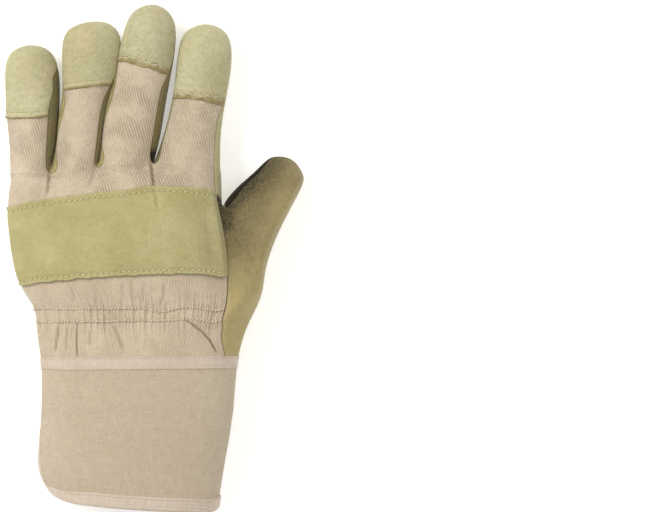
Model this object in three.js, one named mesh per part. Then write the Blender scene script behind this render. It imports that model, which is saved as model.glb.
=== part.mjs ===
// Leather work glove for the left hand, filled out as when worn and lying palm down.
// Millimetres. Fingers point along +Y, the thumb towards +X and the back of the hand up, on the floor at z = 0.
// One cage of quads describes the skin of hand, fingers and thumb. It is smoothed by Catmull-Clark
// subdivision, each quad is labelled with the panel it belongs to, and each panel becomes a sewn wall.
import * as THREE from 'three';

// Wall thicknesses and clearances
const LEATHER_WALL = 1.3;
const CLOTH_WALL = 1.3;
const CANVAS_WALL = 1.4;
const TAPE_WALL = 0.8;
const SEAM_GAP = 0.22;
const GATHERED_SEAM_GAP = 0.5;
const LAYER_GAP = 0.5;

// Raised details
const HEM_ROLL = 0.9;
const WELT_RADIUS = 1.25;
const WELT_SINK = 0.45;
const WELT_SLOT = 1.65;
const TAPE_HALF_WIDTH = 3.4;
const BINDING_WIDTH = 6.5;
const BINDING_GAP = 0.35;
const GATHER_DEPTH = 0.75;
const GATHER_COUNT = 12;
const ELASTIC_PINCH = 0.5;

// Roundness of a section: 2 is an ellipse, more is boxier
const BACK_POWER = 2.2;
const PALM_POWER = 2.8;
const THUMB_POWER = 2.2;

// Where the seams and crowns lie across a section, from -1 at its left side to 1 at its right side
const PALM_STOPS = [0.72, 0, -0.72];
const FINGERS = {
  little: {
    seams: [-0.93, -0.1, 0.62], hemRing: 2, caps: 'fingertip_little',
    startWall: 'palm_leather', endWall: 'fourchette_little_ring', front: 'palm_leather',
    tip: [-66.5, 113.2, 11],
    rings: [
      { left: [-77.0, 44.0], right: [-55.5, 44.0], crown: 27.0, under: 0.8 },
      { left: [-77.2, 57.5], right: [-53.4, 57.5], crown: 25.5, under: 0.5 },
      { left: [-78.7, 75.0], right: [-51.4, 76.0], crown: 25.0, under: 0.0 },
      { left: [-79.4, 89.0], right: [-50.9, 90.0], crown: 24.6, under: 0.0 },
      { left: [-79.4, 101.0], right: [-52.2, 101.5], crown: 23.8, under: 0.6 },
      { left: [-75.9, 109.4], right: [-56.6, 109.8], crown: 19.5, under: 4.2 },
    ],
  },
  ring: {
    seams: [-0.84, 0, 0.78], hemRing: 3, caps: 'fingertip_ring',
    startWall: 'fourchette_little_ring', endWall: 'fourchette_ring_middle', front: 'ring_middle_front',
    tip: [-32.5, 126.0, 12],
    rings: [
      { left: [-55.5, 44.0], right: [-30.0, 47.5], crown: 28.0, under: 0.9 },
      { left: [-52.5, 57.5], right: [-28.8, 59.0], crown: 27.0, under: 0.6 },
      { left: [-51.2, 74.5], right: [-26.5, 76.0], crown: 26.5, under: 0.2 },
      { left: [-49.2, 89.0], right: [-22.0, 92.0], crown: 26.5, under: 0.0 },
      { left: [-49.4, 109.0], right: [-18.2, 110.5], crown: 25.6, under: 0.3 },
      { left: [-45.8, 121.2], right: [-21.4, 122.2], crown: 19.8, under: 4.6 },
    ],
  },
  middle: {
    seams: [-0.88, 0, 0.78], hemRing: 3, caps: 'fingertip_middle',
    startWall: 'fourchette_ring_middle', endWall: 'fourchette_middle_index', front: 'ring_middle_front',
    tip: [-1.5, 135.0, 12],
    rings: [
      { left: [-30.0, 47.5], right: [0.0, 49.5], crown: 29.0, under: 0.9 },
      { left: [-27.5, 62.0], right: [2.7, 63.0], crown: 28.0, under: 0.6 },
      { left: [-25.2, 81.0], right: [5.7, 80.5], crown: 27.5, under: 0.2 },
      { left: [-19.6, 104.3], right: [8.8, 97.5], crown: 27.0, under: 0.0 },
      { left: [-16.2, 119.5], right: [11.4, 118.5], crown: 25.3, under: 0.4 },
      { left: [-11.6, 130.2], right: [7.6, 130.4], crown: 20.0, under: 4.6 },
    ],
  },
  index: {
    seams: [-0.84, 0, 0.84], hemRing: 2, caps: 'fingertip_index',
    startWall: 'fourchette_middle_index', endWall: 'palm_leather', front: 'palm_leather',
    tip: [27.3, 124.5, 12],
    rings: [
      { left: [0.0, 49.5], right: [35.0, 48.5], crown: 28.5, under: 0.9 },
      { left: [5.0, 64.5], right: [35.4, 65.0], crown: 27.0, under: 0.5 },
      { left: [9.9, 84.8], right: [37.6, 81.0], crown: 26.5, under: 0.0 },
      { left: [11.6, 99.0], right: [40.6, 98.5], crown: 26.0, under: 0.0 },
      { left: [13.3, 111.0], right: [40.9, 111.5], crown: 24.5, under: 0.8 },
      { left: [16.9, 119.8], right: [37.4, 120.2], crown: 19.5, under: 4.6 },
    ],
  },
};

// The webs between neighbouring fingers: place, and the heights of their back, middle and palm points
const WEBS = [
  { at: [-55.5, 44.0], back: 21.5, middle: 13.0, palm: 5.0 },
  { at: [-30.0, 47.5], back: 22.5, middle: 13.5, palm: 5.0 },
  { at: [0.0, 49.5], back: 22.5, middle: 13.5, palm: 5.0 },
];
const WEB_RISE = 1.5;

// Rows across the hand from the fingers to the wrist. seam is the join of back cloth and thumb leather;
// dip lowers the back between the fingers.
const HAND_ROWS = [
  {
    name: 'welt', crown: 30.5, side: 13.5, under: 1.7, dip: 2.5,
    left: [-77.0, 39.5], midY: 43.0, seam: [32.5, 43.5], right: [35.5, 42.5],
  },
  {
    name: 'strap top', crown: 35.0, side: 15.0, under: -0.8, dip: 0.4,
    left: [-78.3, 26.5], midY: 33.6, seam: [33.5, 32.6], right: [36.0, 26.5],
  },
  {
    name: 'strap middle', crown: 40.0, side: 17.5, under: -1.2, dip: 0,
    left: [-76.3, 5.5], midY: 10.5, seam: [37.5, 10.5], right: [41.0, 10.5],
  },
  {
    name: 'strap bottom', crown: 42.5, side: 19.5, under: -1.2, dip: 0,
    left: [-71.5, -15.5], midY: -11.0, seam: [39.5, -10.5], right: [42.5, -11.0],
  },
  {
    name: 'elastic', crown: 42.5, side: 20.5, under: -0.8, dip: 0,
    left: [-64.6, -27.6], midY: -27.0, seam: [38.5, -27.0], right: [46.0, -27.0],
  },
  {
    name: 'wrist', crown: 43.5, side: 21.5, under: 0.9, dip: 0,
    left: [-62.5, -41.0], midY: -40.0, seam: [37.0, -38.5], right: [49.4, -38.5],
  },
  {
    name: 'cuff seam', crown: 46.0, side: 23.5, under: 2.85, dip: 0,
    left: [-60.0, -58.0], midY: -57.5, seam: [39.5, -57.0], right: [44.5, -57.0],
  },
];
const BACK_FRACTIONS = [0, 0.1, 0.197, 0.316, 0.433, 0.569, 0.707, 0.865, 1];
const PALM_FRACTIONS = [0.95, 0.845, 0.69, 0.57, 0.425, 0.31, 0.205, 0.13, 0.045];
const BACK_LEFT_STOP = -0.96;
const STRAP_CREST = 0.2;
const STRAP_TOP_ROW = 2;
const STRAP_MIDDLE_ROW = 3;
const STRAP_BOTTOM_ROW = 4;
const THUMB_LAST_ROW = 6;
const SEAM_ROW = 7;

// Rings of the thumb from its root to its tip: inner is the side towards the index finger
const THUMB_RINGS = [
  { inner: [41.0, 33.0], outer: [57.0, -23.8], crown: 28.5, under: 0.6 },
  { inner: [46.0, 37.2], outer: [60.0, -8.2], crown: 28.0, under: 0.6 },
  { inner: [53.8, 44.4], outer: [66.4, 11.0], crown: 26.5, under: 0.7 },
  { inner: [61.3, 50.6], outer: [76.1, 30.3], crown: 24.5, under: 1.2 },
  { inner: [67.2, 52.9], outer: [80.2, 40.0], crown: 21.0, under: 4.0 },
];
const THUMB_TIP = [75.6, 50.2, 12.5];
const THUMB_BACK_STOPS = [-0.8, -0.42, 0, 0.42, 0.82];
const THUMB_PALM_STOPS = [0.84, 0.42, 0, -0.42, -0.84];
const THUMB_SEAM_STOP = 0.96;
const THUMB_SEAM_TILT = 0.32;

// Rows down the cuff from the wrist seam. slit is half the height of the gap at the slit edge.
const CUFF_ROWS = [
  {
    crown: 49.0, side: 24.5, under: 2.8, slit: 0,
    left: [-60.5, -83.5], midY: -83.5, right: [42.0, -83.5],
  },
  {
    crown: 50.0, side: 25.0, under: 2.6, slit: 3.2,
    left: [-62.3, -98.5], midY: -99.5, right: [40.0, -98.5],
  },
  {
    crown: 50.0, side: 25.0, under: 1.9, slit: 5.0,
    left: [-62.8, -112.0], midY: -116.5, right: [37.5, -112.5],
  },
  {
    crown: 49.0, side: 25.0, under: 1.35, slit: 6.5,
    left: [-58.0, -123.0], midY: -133.5, right: [34.0, -128.0],
  },
];
const SLIT_ROW = 1;
const HEM_DROPS = [0, 4.9, 7.0, 7.8, 8.3, 8.7, 8.9, 8.8, 8.0, 6.0, 0];

// The patch on the palm side of the cuff, in columns round the cuff and rows down it
const PATCH = {
  from: 11.6, to: 18.75, top: 0.05, bottom: 1.0,
  across: 18, down: 4, cornerShare: 0.13, cornerLift: 0.1,
};

const SURFACE = {
  leather: { color: 0xc8c491, roughness: 0.78, metalness: 0 },
  strapLeather: { color: 0xbeb882, roughness: 0.8, metalness: 0 },
  thumbLeather: { color: 0xb4ae80, roughness: 0.8, metalness: 0 },
  twill: { color: 0xd0bea5, roughness: 0.92, metalness: 0 },
  canvas: { color: 0xd2c0a5, roughness: 0.95, metalness: 0 },
  tape: { color: 0xdccbbc, roughness: 0.9, metalness: 0 },
};

// Vector helpers on plain arrays
const add = (a, b) => [a[0] + b[0], a[1] + b[1], a[2] + b[2]];
const subtract = (a, b) => [a[0] - b[0], a[1] - b[1], a[2] - b[2]];
const scale = (a, s) => [a[0] * s, a[1] * s, a[2] * s];
const along = (a, b, s) => [a[0] + b[0] * s, a[1] + b[1] * s, a[2] + b[2] * s];
const dot = (a, b) => a[0] * b[0] + a[1] * b[1] + a[2] * b[2];
const cross = (a, b) => [a[1] * b[2] - a[2] * b[1], a[2] * b[0] - a[0] * b[2], a[0] * b[1] - a[1] * b[0]];
const length = (a) => Math.hypot(a[0], a[1], a[2]);
const unit = (a) => scale(a, 1 / (length(a) || 1));
const mix = (a, b, t) => a.map((value, i) => value + (b[i] - value) * t);
const average = (list) => scale(list.reduce(add, [0, 0, 0]), 1 / list.length);
const smoothstep = (x, low, high) => {
  const t = Math.min(Math.max((x - low) / (high - low), 0), 1);
  return t * t * (3 - 2 * t);
};

// Height of a rounded section above its middle, from 0 at its sides to 1 at its crown
function arch(stop, power) {
  return Math.pow(Math.max(1 - Math.pow(Math.abs(stop), power), 0), 1 / power);
}

// A quadratic curve through the left, middle and right value of a row
function bow(left, middle, right, t) {
  return left * (1 - t) * (1 - 2 * t) + middle * 4 * t * (1 - t) + right * t * (2 * t - 1);
}

// The eight points round a finger: start side, three on the back, end side, three on the front
function fingerRing(ring, seams) {
  const middle = (ring.crown + ring.under) / 2;
  const at = (stop, height) => [...mix(ring.left, ring.right, (stop + 1) / 2), height];
  return [
    at(-1, middle),
    ...seams.map((stop) => at(stop, middle + (ring.crown - middle) * arch(stop, BACK_POWER))),
    at(1, middle),
    ...PALM_STOPS.map((stop) => at(stop, middle - (middle - ring.under) * arch(stop, PALM_POWER))),
  ];
}

// The twenty points round the hand: left side, nine on the back, right side, nine on the palm
function handRing(row) {
  const centre = (row.left[0] + row.right[0]) / 2;
  const half = (row.right[0] - row.left[0]) / 2;
  const startX = centre + half * BACK_LEFT_STOP;
  const height = (x, reach, power) => row.side + (reach - row.side) * arch((x - centre) / half, power);
  const back = BACK_FRACTIONS.map((t, i) => {
    const x = startX + (row.seam[0] - startX) * t;
    const betweenFingers = i === 2 || i === 4 || i === 6;
    const dip = betweenFingers ? row.dip : 0;
    return [x, bow(row.left[1], row.midY, row.seam[1], t), height(x, row.crown, BACK_POWER) - dip];
  });
  const palm = PALM_FRACTIONS.map((t) => {
    const x = row.left[0] + (row.right[0] - row.left[0]) * t;
    return [x, bow(row.left[1], row.midY, row.right[1], t), height(x, row.under, PALM_POWER)];
  });
  return [[...row.left, row.side], ...back, [...row.right, row.side], ...palm];
}

// The twelve points round the thumb: seam towards the finger, five on the back, outer seam,
// five on the palm side
function thumbRing(ring) {
  const middle = (ring.crown + ring.under) / 2;
  const rise = (ring.crown - ring.under) / 2;
  const at = (stop, height) => [...mix(ring.inner, ring.outer, (stop + 1) / 2), height];
  return [
    at(-THUMB_SEAM_STOP, middle + rise * THUMB_SEAM_TILT),
    ...THUMB_BACK_STOPS.map((stop) => at(stop, middle + rise * arch(stop, THUMB_POWER))),
    at(THUMB_SEAM_STOP, middle - rise * THUMB_SEAM_TILT),
    ...THUMB_PALM_STOPS.map((stop) => at(stop, middle - rise * arch(stop, THUMB_POWER))),
  ];
}

// A cage: points, and quads with the label of their panel and a column and row for each corner
function newCage() {
  return { points: [], faces: [] };
}

function addPoint(cage, point) {
  cage.points.push(point);
  return cage.points.length - 1;
}

function addBand(cage, near, far, row, region, labelOf) {
  const count = near.length;
  for (let i = 0; i < count; i++) {
    const j = (i + 1) % count;
    const label = labelOf(i);
    if (!label) continue;
    cage.faces.push({
      corners: [far[i], near[i], near[j], far[j]],
      uv: [[i, row + 1], [i, row], [i + 1, row], [i + 1, row + 1]],
      label, region,
    });
  }
}

// Closes a ring of an even count: a middle line joins its start side to its end side
function closeTip(cage, ring, tip, row, region, backLabel, frontLabel) {
  const half = ring.length / 2;
  const middle = [ring[0]];
  for (let i = 2; i < half - 1; i++) {
    const spread = (i - half / 2) / (half / 2 - 1);
    const side = spread < 0 ? cage.points[ring[0]] : cage.points[ring[half]];
    middle.push(addPoint(cage, mix(tip, side, Math.abs(spread) * 0.8)));
  }
  middle.push(ring[half]);
  for (let i = 0; i < middle.length - 1; i++) {
    const back = [ring[i + 1], ring[i + 2]];
    const front = [ring[(2 * half - i - 2)], ring[(2 * half - i - 1)]];
    const uv = [[i, row + 1], [i + 1, row], [i + 2, row], [i + 1, row + 1]];
    cage.faces.push({ corners: [middle[i], ...back, middle[i + 1]], uv, label: backLabel, region });
    cage.faces.push({ corners: [middle[i + 1], ...front, middle[i]], uv, label: frontLabel, region });
  }
}

// Hand, fingers and thumb as one cage
function buildHandCage() {
  const cage = newCage();
  const webs = WEBS.map((web) => ({
    back: addPoint(cage, [...web.at, web.back]),
    middle: addPoint(cage, [web.at[0], web.at[1] + WEB_RISE, web.middle]),
    palm: addPoint(cage, [...web.at, web.palm]),
  }));
  const topRow = [];
  const palmRow = [];
  Object.entries(FINGERS).forEach(([name, finger], number) => {
    const before = webs[number - 1];
    const after = webs[number];
    const rings = finger.rings.map((ring) => fingerRing(ring, finger.seams));
    const base = rings[0].map((point, i) => {
      if (before && i === 0) return before.middle;
      if (before && i === 1) return before.back;
      if (before && i === 7) return before.palm;
      if (after && i === 3) return after.back;
      if (after && i === 4) return after.middle;
      if (after && i === 5) return after.palm;
      return addPoint(cage, point);
    });
    if (!before) topRow.push(base[0]);
    topRow.push(...(before ? base.slice(2, 4) : base.slice(1, 4)));
    if (!after) topRow.push(base[4]);
    palmRow.unshift(...(after ? base.slice(6, 8) : base.slice(5, 8)));
    let near = base;
    const last = rings.length - 2;
    rings.slice(1).forEach((ring, k) => {
      const far = ring.map((point) => addPoint(cage, point));
      addBand(cage, near, far, k, name, (i) => {
        const capped = k >= finger.hemRing;
        if (i === 1 || i === 2) return capped ? finger.caps : 'finger_back_cloth';
        if (i === 5 || i === 6) return finger.front;
        if (k === last) return i === 0 || i === 3 ? finger.caps : finger.front;
        return i === 0 || i === 7 ? finger.startWall : finger.endWall;
      });
      near = far;
    });
    closeTip(cage, near, finger.tip, rings.length - 1, name, finger.caps, finger.front);
  });
  const rows = [[...topRow, ...palmRow]];
  HAND_ROWS.forEach((row, r) => {
    const next = handRing(row).map((point, i) => {
      const insideThumb = i === 10 && r + 1 > STRAP_TOP_ROW && r + 1 < THUMB_LAST_ROW;
      return insideThumb ? -1 : addPoint(cage, point);
    });
    addBand(cage, next, rows[r], -r - 1, 'hand', (i) => {
      const besideThumb = i === 9 || i === 10;
      if (besideThumb && r >= STRAP_TOP_ROW && r < THUMB_LAST_ROW) return null;
      if (i >= 1 && i <= 8) return r < STRAP_MIDDLE_ROW ? 'finger_back_cloth' : 'wrist_back_cloth';
      if (i === 9 && r >= THUMB_LAST_ROW) return 'thumb_back';
      if (r === 0 && i >= 13 && i <= 16) return 'ring_middle_front';
      return 'palm_leather';
    });
    rows.push(next);
  });
  const thumbRows = rows.slice(STRAP_TOP_ROW, THUMB_LAST_ROW + 1);
  let near = [
    rows[STRAP_TOP_ROW][10],
    ...thumbRows.map((row) => row[9]),
    rows[THUMB_LAST_ROW][10],
    ...thumbRows.map((row) => row[11]).reverse(),
  ];
  THUMB_RINGS.forEach((ring, k) => {
    const far = thumbRing(ring).map((point) => addPoint(cage, point));
    addBand(cage, near, far, k, 'thumb', (i) => (i < 6 ? 'thumb_back' : 'palm_leather'));
    near = far;
  });
  closeTip(cage, near, THUMB_TIP, THUMB_RINGS.length, 'thumb', 'thumb_back', 'palm_leather');
  return { cage, seamRing: rows[SEAM_ROW] };
}

// The cuff as a cage of its own that starts at the same ring; below the slit row its left column is cut in two
function buildCuffCage(seamPoints) {
  const cage = newCage();
  let near = seamPoints.map((point) => addPoint(cage, point));
  let nearCut = near[0];
  CUFF_ROWS.forEach((row, r) => {
    const ring = handRing({ ...row, seam: [row.right[0] - 4, row.right[1]], dip: 0 });
    const hem = r === CUFF_ROWS.length - 1;
    const shaped = ring.map((point, i) => {
      if (!hem) return point;
      const step = i <= 10 ? i : 20 - i;
      const lineY = mix(row.left, row.right, (point[0] - row.left[0]) / (row.right[0] - row.left[0]))[1];
      return [point[0], lineY - HEM_DROPS[step], point[2]];
    });
    const far = shaped.map((point) => addPoint(cage, point));
    let farCut = far[0];
    if (row.slit > 0) {
      cage.points[far[0]] = add(shaped[0], [0, 0, row.slit]);
      farCut = addPoint(cage, add(shaped[0], [0, 0, -row.slit]));
    }
    for (let i = 0; i < 20; i++) {
      const j = (i + 1) % 20;
      const nearEnd = j === 0 ? nearCut : near[j];
      const farEnd = j === 0 ? farCut : far[j];
      cage.faces.push({
        corners: [near[i], far[i], farEnd, nearEnd],
        uv: [[i, r], [i, r + 1], [i + 1, r + 1], [i + 1, r]],
        label: 'safety_cuff', region: 'cuff',
      });
    }
    near = far;
    nearCut = farCut;
  });
  return cage;
}

// Edges of a cage with the faces on each side, and the neighbours of every point
function connect(mesh) {
  const edges = new Map();
  const key = (a, b) => (a < b ? `${a},${b}` : `${b},${a}`);
  mesh.faces.forEach((face, f) => {
    face.corners.forEach((a, i) => {
      const b = face.corners[(i + 1) % 4];
      const name = key(a, b);
      if (!edges.has(name)) edges.set(name, { ends: [a, b], faces: [] });
      edges.get(name).faces.push(f);
    });
  });
  const around = mesh.points.map(() => ({ edges: [], faces: [], rim: [] }));
  for (const edge of edges.values()) {
    const [a, b] = edge.ends;
    around[a].edges.push(b);
    around[b].edges.push(a);
    if (edge.faces.length === 1) {
      around[a].rim.push(b);
      around[b].rim.push(a);
    }
  }
  mesh.faces.forEach((face, f) => face.corners.forEach((a) => around[a].faces.push(f)));
  return { edges, around, key };
}

// The place that a point of the cage reaches on the smooth surface
function limitPoints(mesh) {
  const { around } = connect(mesh);
  return mesh.points.map((point, i) => {
    const near = around[i];
    if (near.rim.length) {
      const ends = near.rim.map((j) => mesh.points[j]);
      return scale(ends.reduce(add, scale(point, 4)), 1 / 6);
    }
    const n = near.edges.length;
    let total = scale(point, n * n);
    near.edges.forEach((j) => (total = along(total, mesh.points[j], 4)));
    near.faces.forEach((f) => {
      const corners = mesh.faces[f].corners;
      const opposite = corners[(corners.indexOf(i) + 2) % 4];
      total = add(total, mesh.points[opposite]);
    });
    return scale(total, 1 / (n * (n + 5)));
  });
}

// Moves the cage until the smooth surface passes through the given points
function fitCage(cage) {
  const targets = cage.points.map((point) => [...point]);
  for (let pass = 0; pass < 8; pass++) {
    const reached = limitPoints(cage);
    cage.points = cage.points.map((point, i) => add(point, subtract(targets[i], reached[i])));
  }
  return cage;
}

// One Catmull-Clark step
function refine(mesh) {
  const { edges, around, key } = connect(mesh);
  const middles = mesh.faces.map((face) => average(face.corners.map((i) => mesh.points[i])));
  const points = mesh.points.map((point, i) => {
    const near = around[i];
    if (near.rim.length) {
      const ends = near.rim.map((j) => mesh.points[j]);
      return scale(ends.reduce(add, scale(point, 6)), 1 / 8);
    }
    const n = near.edges.length;
    const faces = average(near.faces.map((f) => middles[f]));
    const rims = average(near.edges.map((j) => mix(point, mesh.points[j], 0.5)));
    return scale(add(add(faces, scale(rims, 2)), scale(point, n - 3)), 1 / n);
  });
  const edgeIndex = new Map();
  for (const [name, edge] of edges) {
    const ends = edge.ends.map((i) => mesh.points[i]);
    const inner = edge.faces.length === 2 ? edge.faces.map((f) => middles[f]) : [];
    edgeIndex.set(name, points.push(average([...ends, ...inner])) - 1);
  }
  const faces = [];
  mesh.faces.forEach((face, f) => {
    const centre = points.push(middles[f]) - 1;
    const centreUv = [0, 1].map((axis) => face.uv.reduce((sum, uv) => sum + uv[axis], 0) / 4);
    const uvBetween = (i, j) => mix(face.uv[i], face.uv[j], 0.5);
    for (let i = 0; i < 4; i++) {
      const next = (i + 1) % 4;
      const last = (i + 3) % 4;
      const after = edgeIndex.get(key(face.corners[i], face.corners[next]));
      const before = edgeIndex.get(key(face.corners[last], face.corners[i]));
      faces.push({
        ...face,
        corners: [face.corners[i], after, centre, before],
        uv: [face.uv[i], uvBetween(i, next), centreUv, uvBetween(last, i)],
      });
    }
  });
  return { points, faces };
}

// The smooth surface at a level of detail, pressed flat where it meets the floor, with a normal at each point
function smoothSurface(cage, level) {
  let mesh = cage;
  for (let i = 0; i < level; i++) mesh = refine(mesh);
  const points = limitPoints(mesh).map(([x, y, z]) => [x, y, Math.max(z, 0)]);
  const normals = points.map(() => [0, 0, 0]);
  mesh.faces.forEach(({ corners }) => {
    const [a, b, c, d] = corners.map((i) => points[i]);
    const normal = cross(subtract(c, a), subtract(d, b));
    corners.forEach((i) => (normals[i] = add(normals[i], normal)));
  });
  return { points, faces: mesh.faces, normals: normals.map(unit) };
}

// Turns a set of quads into a closed wall: outer skin, inner skin and a rim round every edge.
// insetOf gives how far the wall stays back from each border; lift raises the outer skin at a column and row.
function wall(surface, faces, thickness, insetOf = () => SEAM_GAP, lift = () => 0) {
  const uses = new Map();
  const uvOf = new Map();
  faces.forEach(({ corners, uv }) => {
    corners.forEach((a, i) => {
      uses.set(`${a},${corners[(i + 1) % 4]}`, [a, corners[(i + 1) % 4]]);
      uvOf.set(a, uv[i]);
    });
  });
  const rims = [...uses.values()].filter(([a, b]) => !uses.has(`${b},${a}`));
  const pulls = new Map();
  rims.forEach(([a, b]) => {
    const direction = unit(subtract(surface.points[b], surface.points[a]));
    const amount = insetOf(uvOf.get(a), uvOf.get(b));
    [a, b].forEach((i) => {
      const inward = unit(cross(surface.normals[i], direction));
      pulls.set(i, [...(pulls.get(i) || []), { inward, amount }]);
    });
  });
  const index = new Map();
  const outer = [];
  const inner = [];
  for (const [i, uv] of uvOf) {
    const pull = pulls.get(i) ? pullBack(pulls.get(i)) : [0, 0, 0];
    const place = add(surface.points[i], pull);
    index.set(i, outer.length);
    outer.push(along(place, surface.normals[i], lift(...uv)));
    inner.push(along(place, surface.normals[i], -thickness));
  }
  const count = outer.length;
  const triangles = [];
  faces.forEach(({ corners }) => {
    const [a, b, c, d] = corners.map((i) => index.get(i));
    const flip = length(subtract(outer[a], outer[c])) > length(subtract(outer[b], outer[d]));
    const halves = flip ? [[a, b, d], [b, c, d]] : [[a, b, c], [a, c, d]];
    halves.forEach(([p, q, r]) => triangles.push([p, q, r], [p + count, r + count, q + count]));
  });
  rims.forEach(([a, b]) => {
    const [p, q] = [index.get(a), index.get(b)];
    triangles.push([q, p, p + count], [q, p + count, q + count]);
  });
  return { points: [...outer, ...inner], triangles };
}

// The move that keeps a corner the asked distance back from each of its one or two borders
function pullBack(borders) {
  const [first, second] = borders;
  if (!second) return scale(first.inward, first.amount);
  const lean = dot(first.inward, second.inward);
  if (lean > 0.95 || lean < -0.8) {
    return scale(unit(add(first.inward, second.inward)), Math.max(first.amount, second.amount));
  }
  const share = 1 / (1 - lean * lean);
  const a = (first.amount - lean * second.amount) * share;
  const b = (second.amount - lean * first.amount) * share;
  return add(scale(first.inward, a), scale(second.inward, b));
}

// A lookup of smooth points by column and row, with straight interpolation between them
function gridOf(surface, region, step) {
  const table = new Map();
  surface.faces.forEach((face) => {
    if (face.region !== region) return;
    face.uv.forEach((uv, i) => table.set(uv.map((value) => Math.round(value / step)).join(), face.corners[i]));
  });
  return (column, row) => {
    const [c, r] = [column, row].map((value) => Math.floor(value / step + 1e-6));
    const s = Math.max(column / step - c, 0);
    const t = Math.max(row / step - r, 0);
    const corner = (dc, dr) => table.get([c + (s > 1e-6 ? dc : 0), r + (t > 1e-6 ? dr : 0)].join());
    const pick = (list) => mix(
      mix(list[corner(0, 0)], list[corner(1, 0)], s),
      mix(list[corner(0, 1)], list[corner(1, 1)], s), t);
    return { point: pick(surface.points), normal: unit(pick(surface.normals)) };
  };
}

// A surface made of rows of sampled points, so that it can be made a wall too
function sheetFrom(samples) {
  const columns = samples[0].length;
  const points = samples.flat().map((sample) => sample.point);
  const normals = samples.flat().map((sample) => sample.normal);
  const faces = [];
  for (let r = 0; r + 1 < samples.length; r++) {
    for (let c = 0; c + 1 < columns; c++) {
      const a = r * columns + c;
      faces.push({
        corners: [a, a + columns, a + columns + 1, a + 1],
        uv: [[c, r], [c, r + 1], [c + 1, r + 1], [c + 1, r]],
      });
    }
  }
  return { points, normals, faces };
}

// Carries a closed profile along a list of places; each place turns [across, outwards] into a point.
// The profile runs along one side and back along the other with as many points, so that its ends
// close as a strip.
function sweep(places, profile, closed) {
  const count = profile.length;
  const points = places.flatMap((place) => profile.map(([across, out]) => place(across, out)));
  const triangles = [];
  const steps = closed ? places.length : places.length - 1;
  for (let k = 0; k < steps; k++) {
    const next = (k + 1) % places.length;
    for (let i = 0; i < count; i++) {
      const j = (i + 1) % count;
      const [a, b, c, d] = [k * count + i, k * count + j, next * count + j, next * count + i];
      triangles.push([a, b, c], [a, c, d]);
    }
  }
  if (!closed) {
    const end = (places.length - 1) * count;
    for (let i = 0; i + 1 < count / 2; i++) {
      const [a, b, c, d] = [i, i + 1, count - 2 - i, count - 1 - i];
      triangles.push([a, c, b], [a, d, c], [end + a, end + b, end + c], [end + a, end + c, end + d]);
    }
  }
  return { points, triangles };
}

function meshOf(name, solid, surface) {
  const signed = solid.triangles.reduce((sum, [a, b, c]) => (
    sum + dot(solid.points[a], cross(solid.points[b], solid.points[c]))), 0);
  const ordered = signed < 0 ? solid.triangles.map(([a, b, c]) => [a, c, b]) : solid.triangles;
  const geometry = new THREE.BufferGeometry();
  geometry.setAttribute('position', new THREE.Float32BufferAttribute(solid.points.flat(), 3));
  geometry.setIndex(ordered.flat());
  geometry.computeVertexNormals();
  const mesh = new THREE.Mesh(geometry, new THREE.MeshStandardMaterial(SURFACE[surface]));
  mesh.name = name;
  return mesh;
}

// Fine gathers across the wrist cloth, deepest round the elastic and gone at the strap, the tape and the sides
function gatherLift(column, row) {
  const across = (column - 1) / 8;
  const sides = smoothstep(across, 0, 0.05) * smoothstep(1 - across, 0, 0.05);
  const ends = smoothstep(row, 4.0, 4.8) * smoothstep(7 - row, 0.3, 1.2);
  const drift = 0.5 * Math.sin(row * 1.7 + across * 5);
  const ripple = Math.sin(2 * Math.PI * GATHER_COUNT * across + drift);
  const slow = Math.sin(2 * Math.PI * GATHER_COUNT * 0.37 * across + 1.3 + row * 0.6);
  const pinch = Math.exp(-Math.pow((row - 5.0) / 0.18, 2)) + Math.exp(-Math.pow((row - 5.6) / 0.18, 2));
  return sides * ends * (GATHER_DEPTH * (0.7 * ripple + 0.3 * slow) - ELASTIC_PINCH * pinch);
}

function labelled(surface, label) {
  return surface.faces.filter((face) => face.label === label);
}

function sewnPanels(skin) {
  const panels = [
    ['fourchette_little_ring', LEATHER_WALL, 'leather'],
    ['fourchette_ring_middle', LEATHER_WALL, 'leather'],
    ['fourchette_middle_index', LEATHER_WALL, 'leather'],
    ['thumb_back', LEATHER_WALL, 'thumbLeather'],
    ['finger_back_cloth', CLOTH_WALL, 'twill'],
  ];
  const weltSlot = (a, b) => {
    const onWelt = a[1] === -1 && b[1] === -1 && Math.min(a[0], b[0]) >= 13 && Math.max(a[0], b[0]) <= 17;
    return onWelt ? WELT_SLOT : SEAM_GAP;
  };
  const made = panels.map(([name, thickness, surface]) => (
    meshOf(name, wall(skin, labelled(skin, name), thickness), surface)));
  ['palm_leather', 'ring_middle_front'].forEach((name) => {
    made.push(meshOf(name, wall(skin, labelled(skin, name), LEATHER_WALL, weltSlot), 'leather'));
  });
  Object.values(FINGERS).forEach(({ caps, hemRing }) => {
    const roll = (column, row) => (row === hemRing ? HEM_ROLL : 0);
    made.push(meshOf(caps, wall(skin, labelled(skin, caps), LEATHER_WALL, () => SEAM_GAP, roll), 'leather'));
  });
  return made;
}

function wristCloth(fineGrid) {
  const rows = [3, 4, 4.5, 5, 5.625, 6.25, 7];
  const columns = GATHER_COUNT * 4;
  const samples = rows.map((row) => Array.from({ length: columns + 1 }, (_, i) => {
    const column = 1 + 8 * i / columns;
    const { point, normal } = fineGrid(column, -row);
    return { point: along(point, normal, gatherLift(column, row)), normal };
  }));
  const sheet = sheetFrom(samples);
  return meshOf('wrist_back_cloth', wall(sheet, sheet.faces, CLOTH_WALL, () => GATHERED_SEAM_GAP), 'twill');
}

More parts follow.
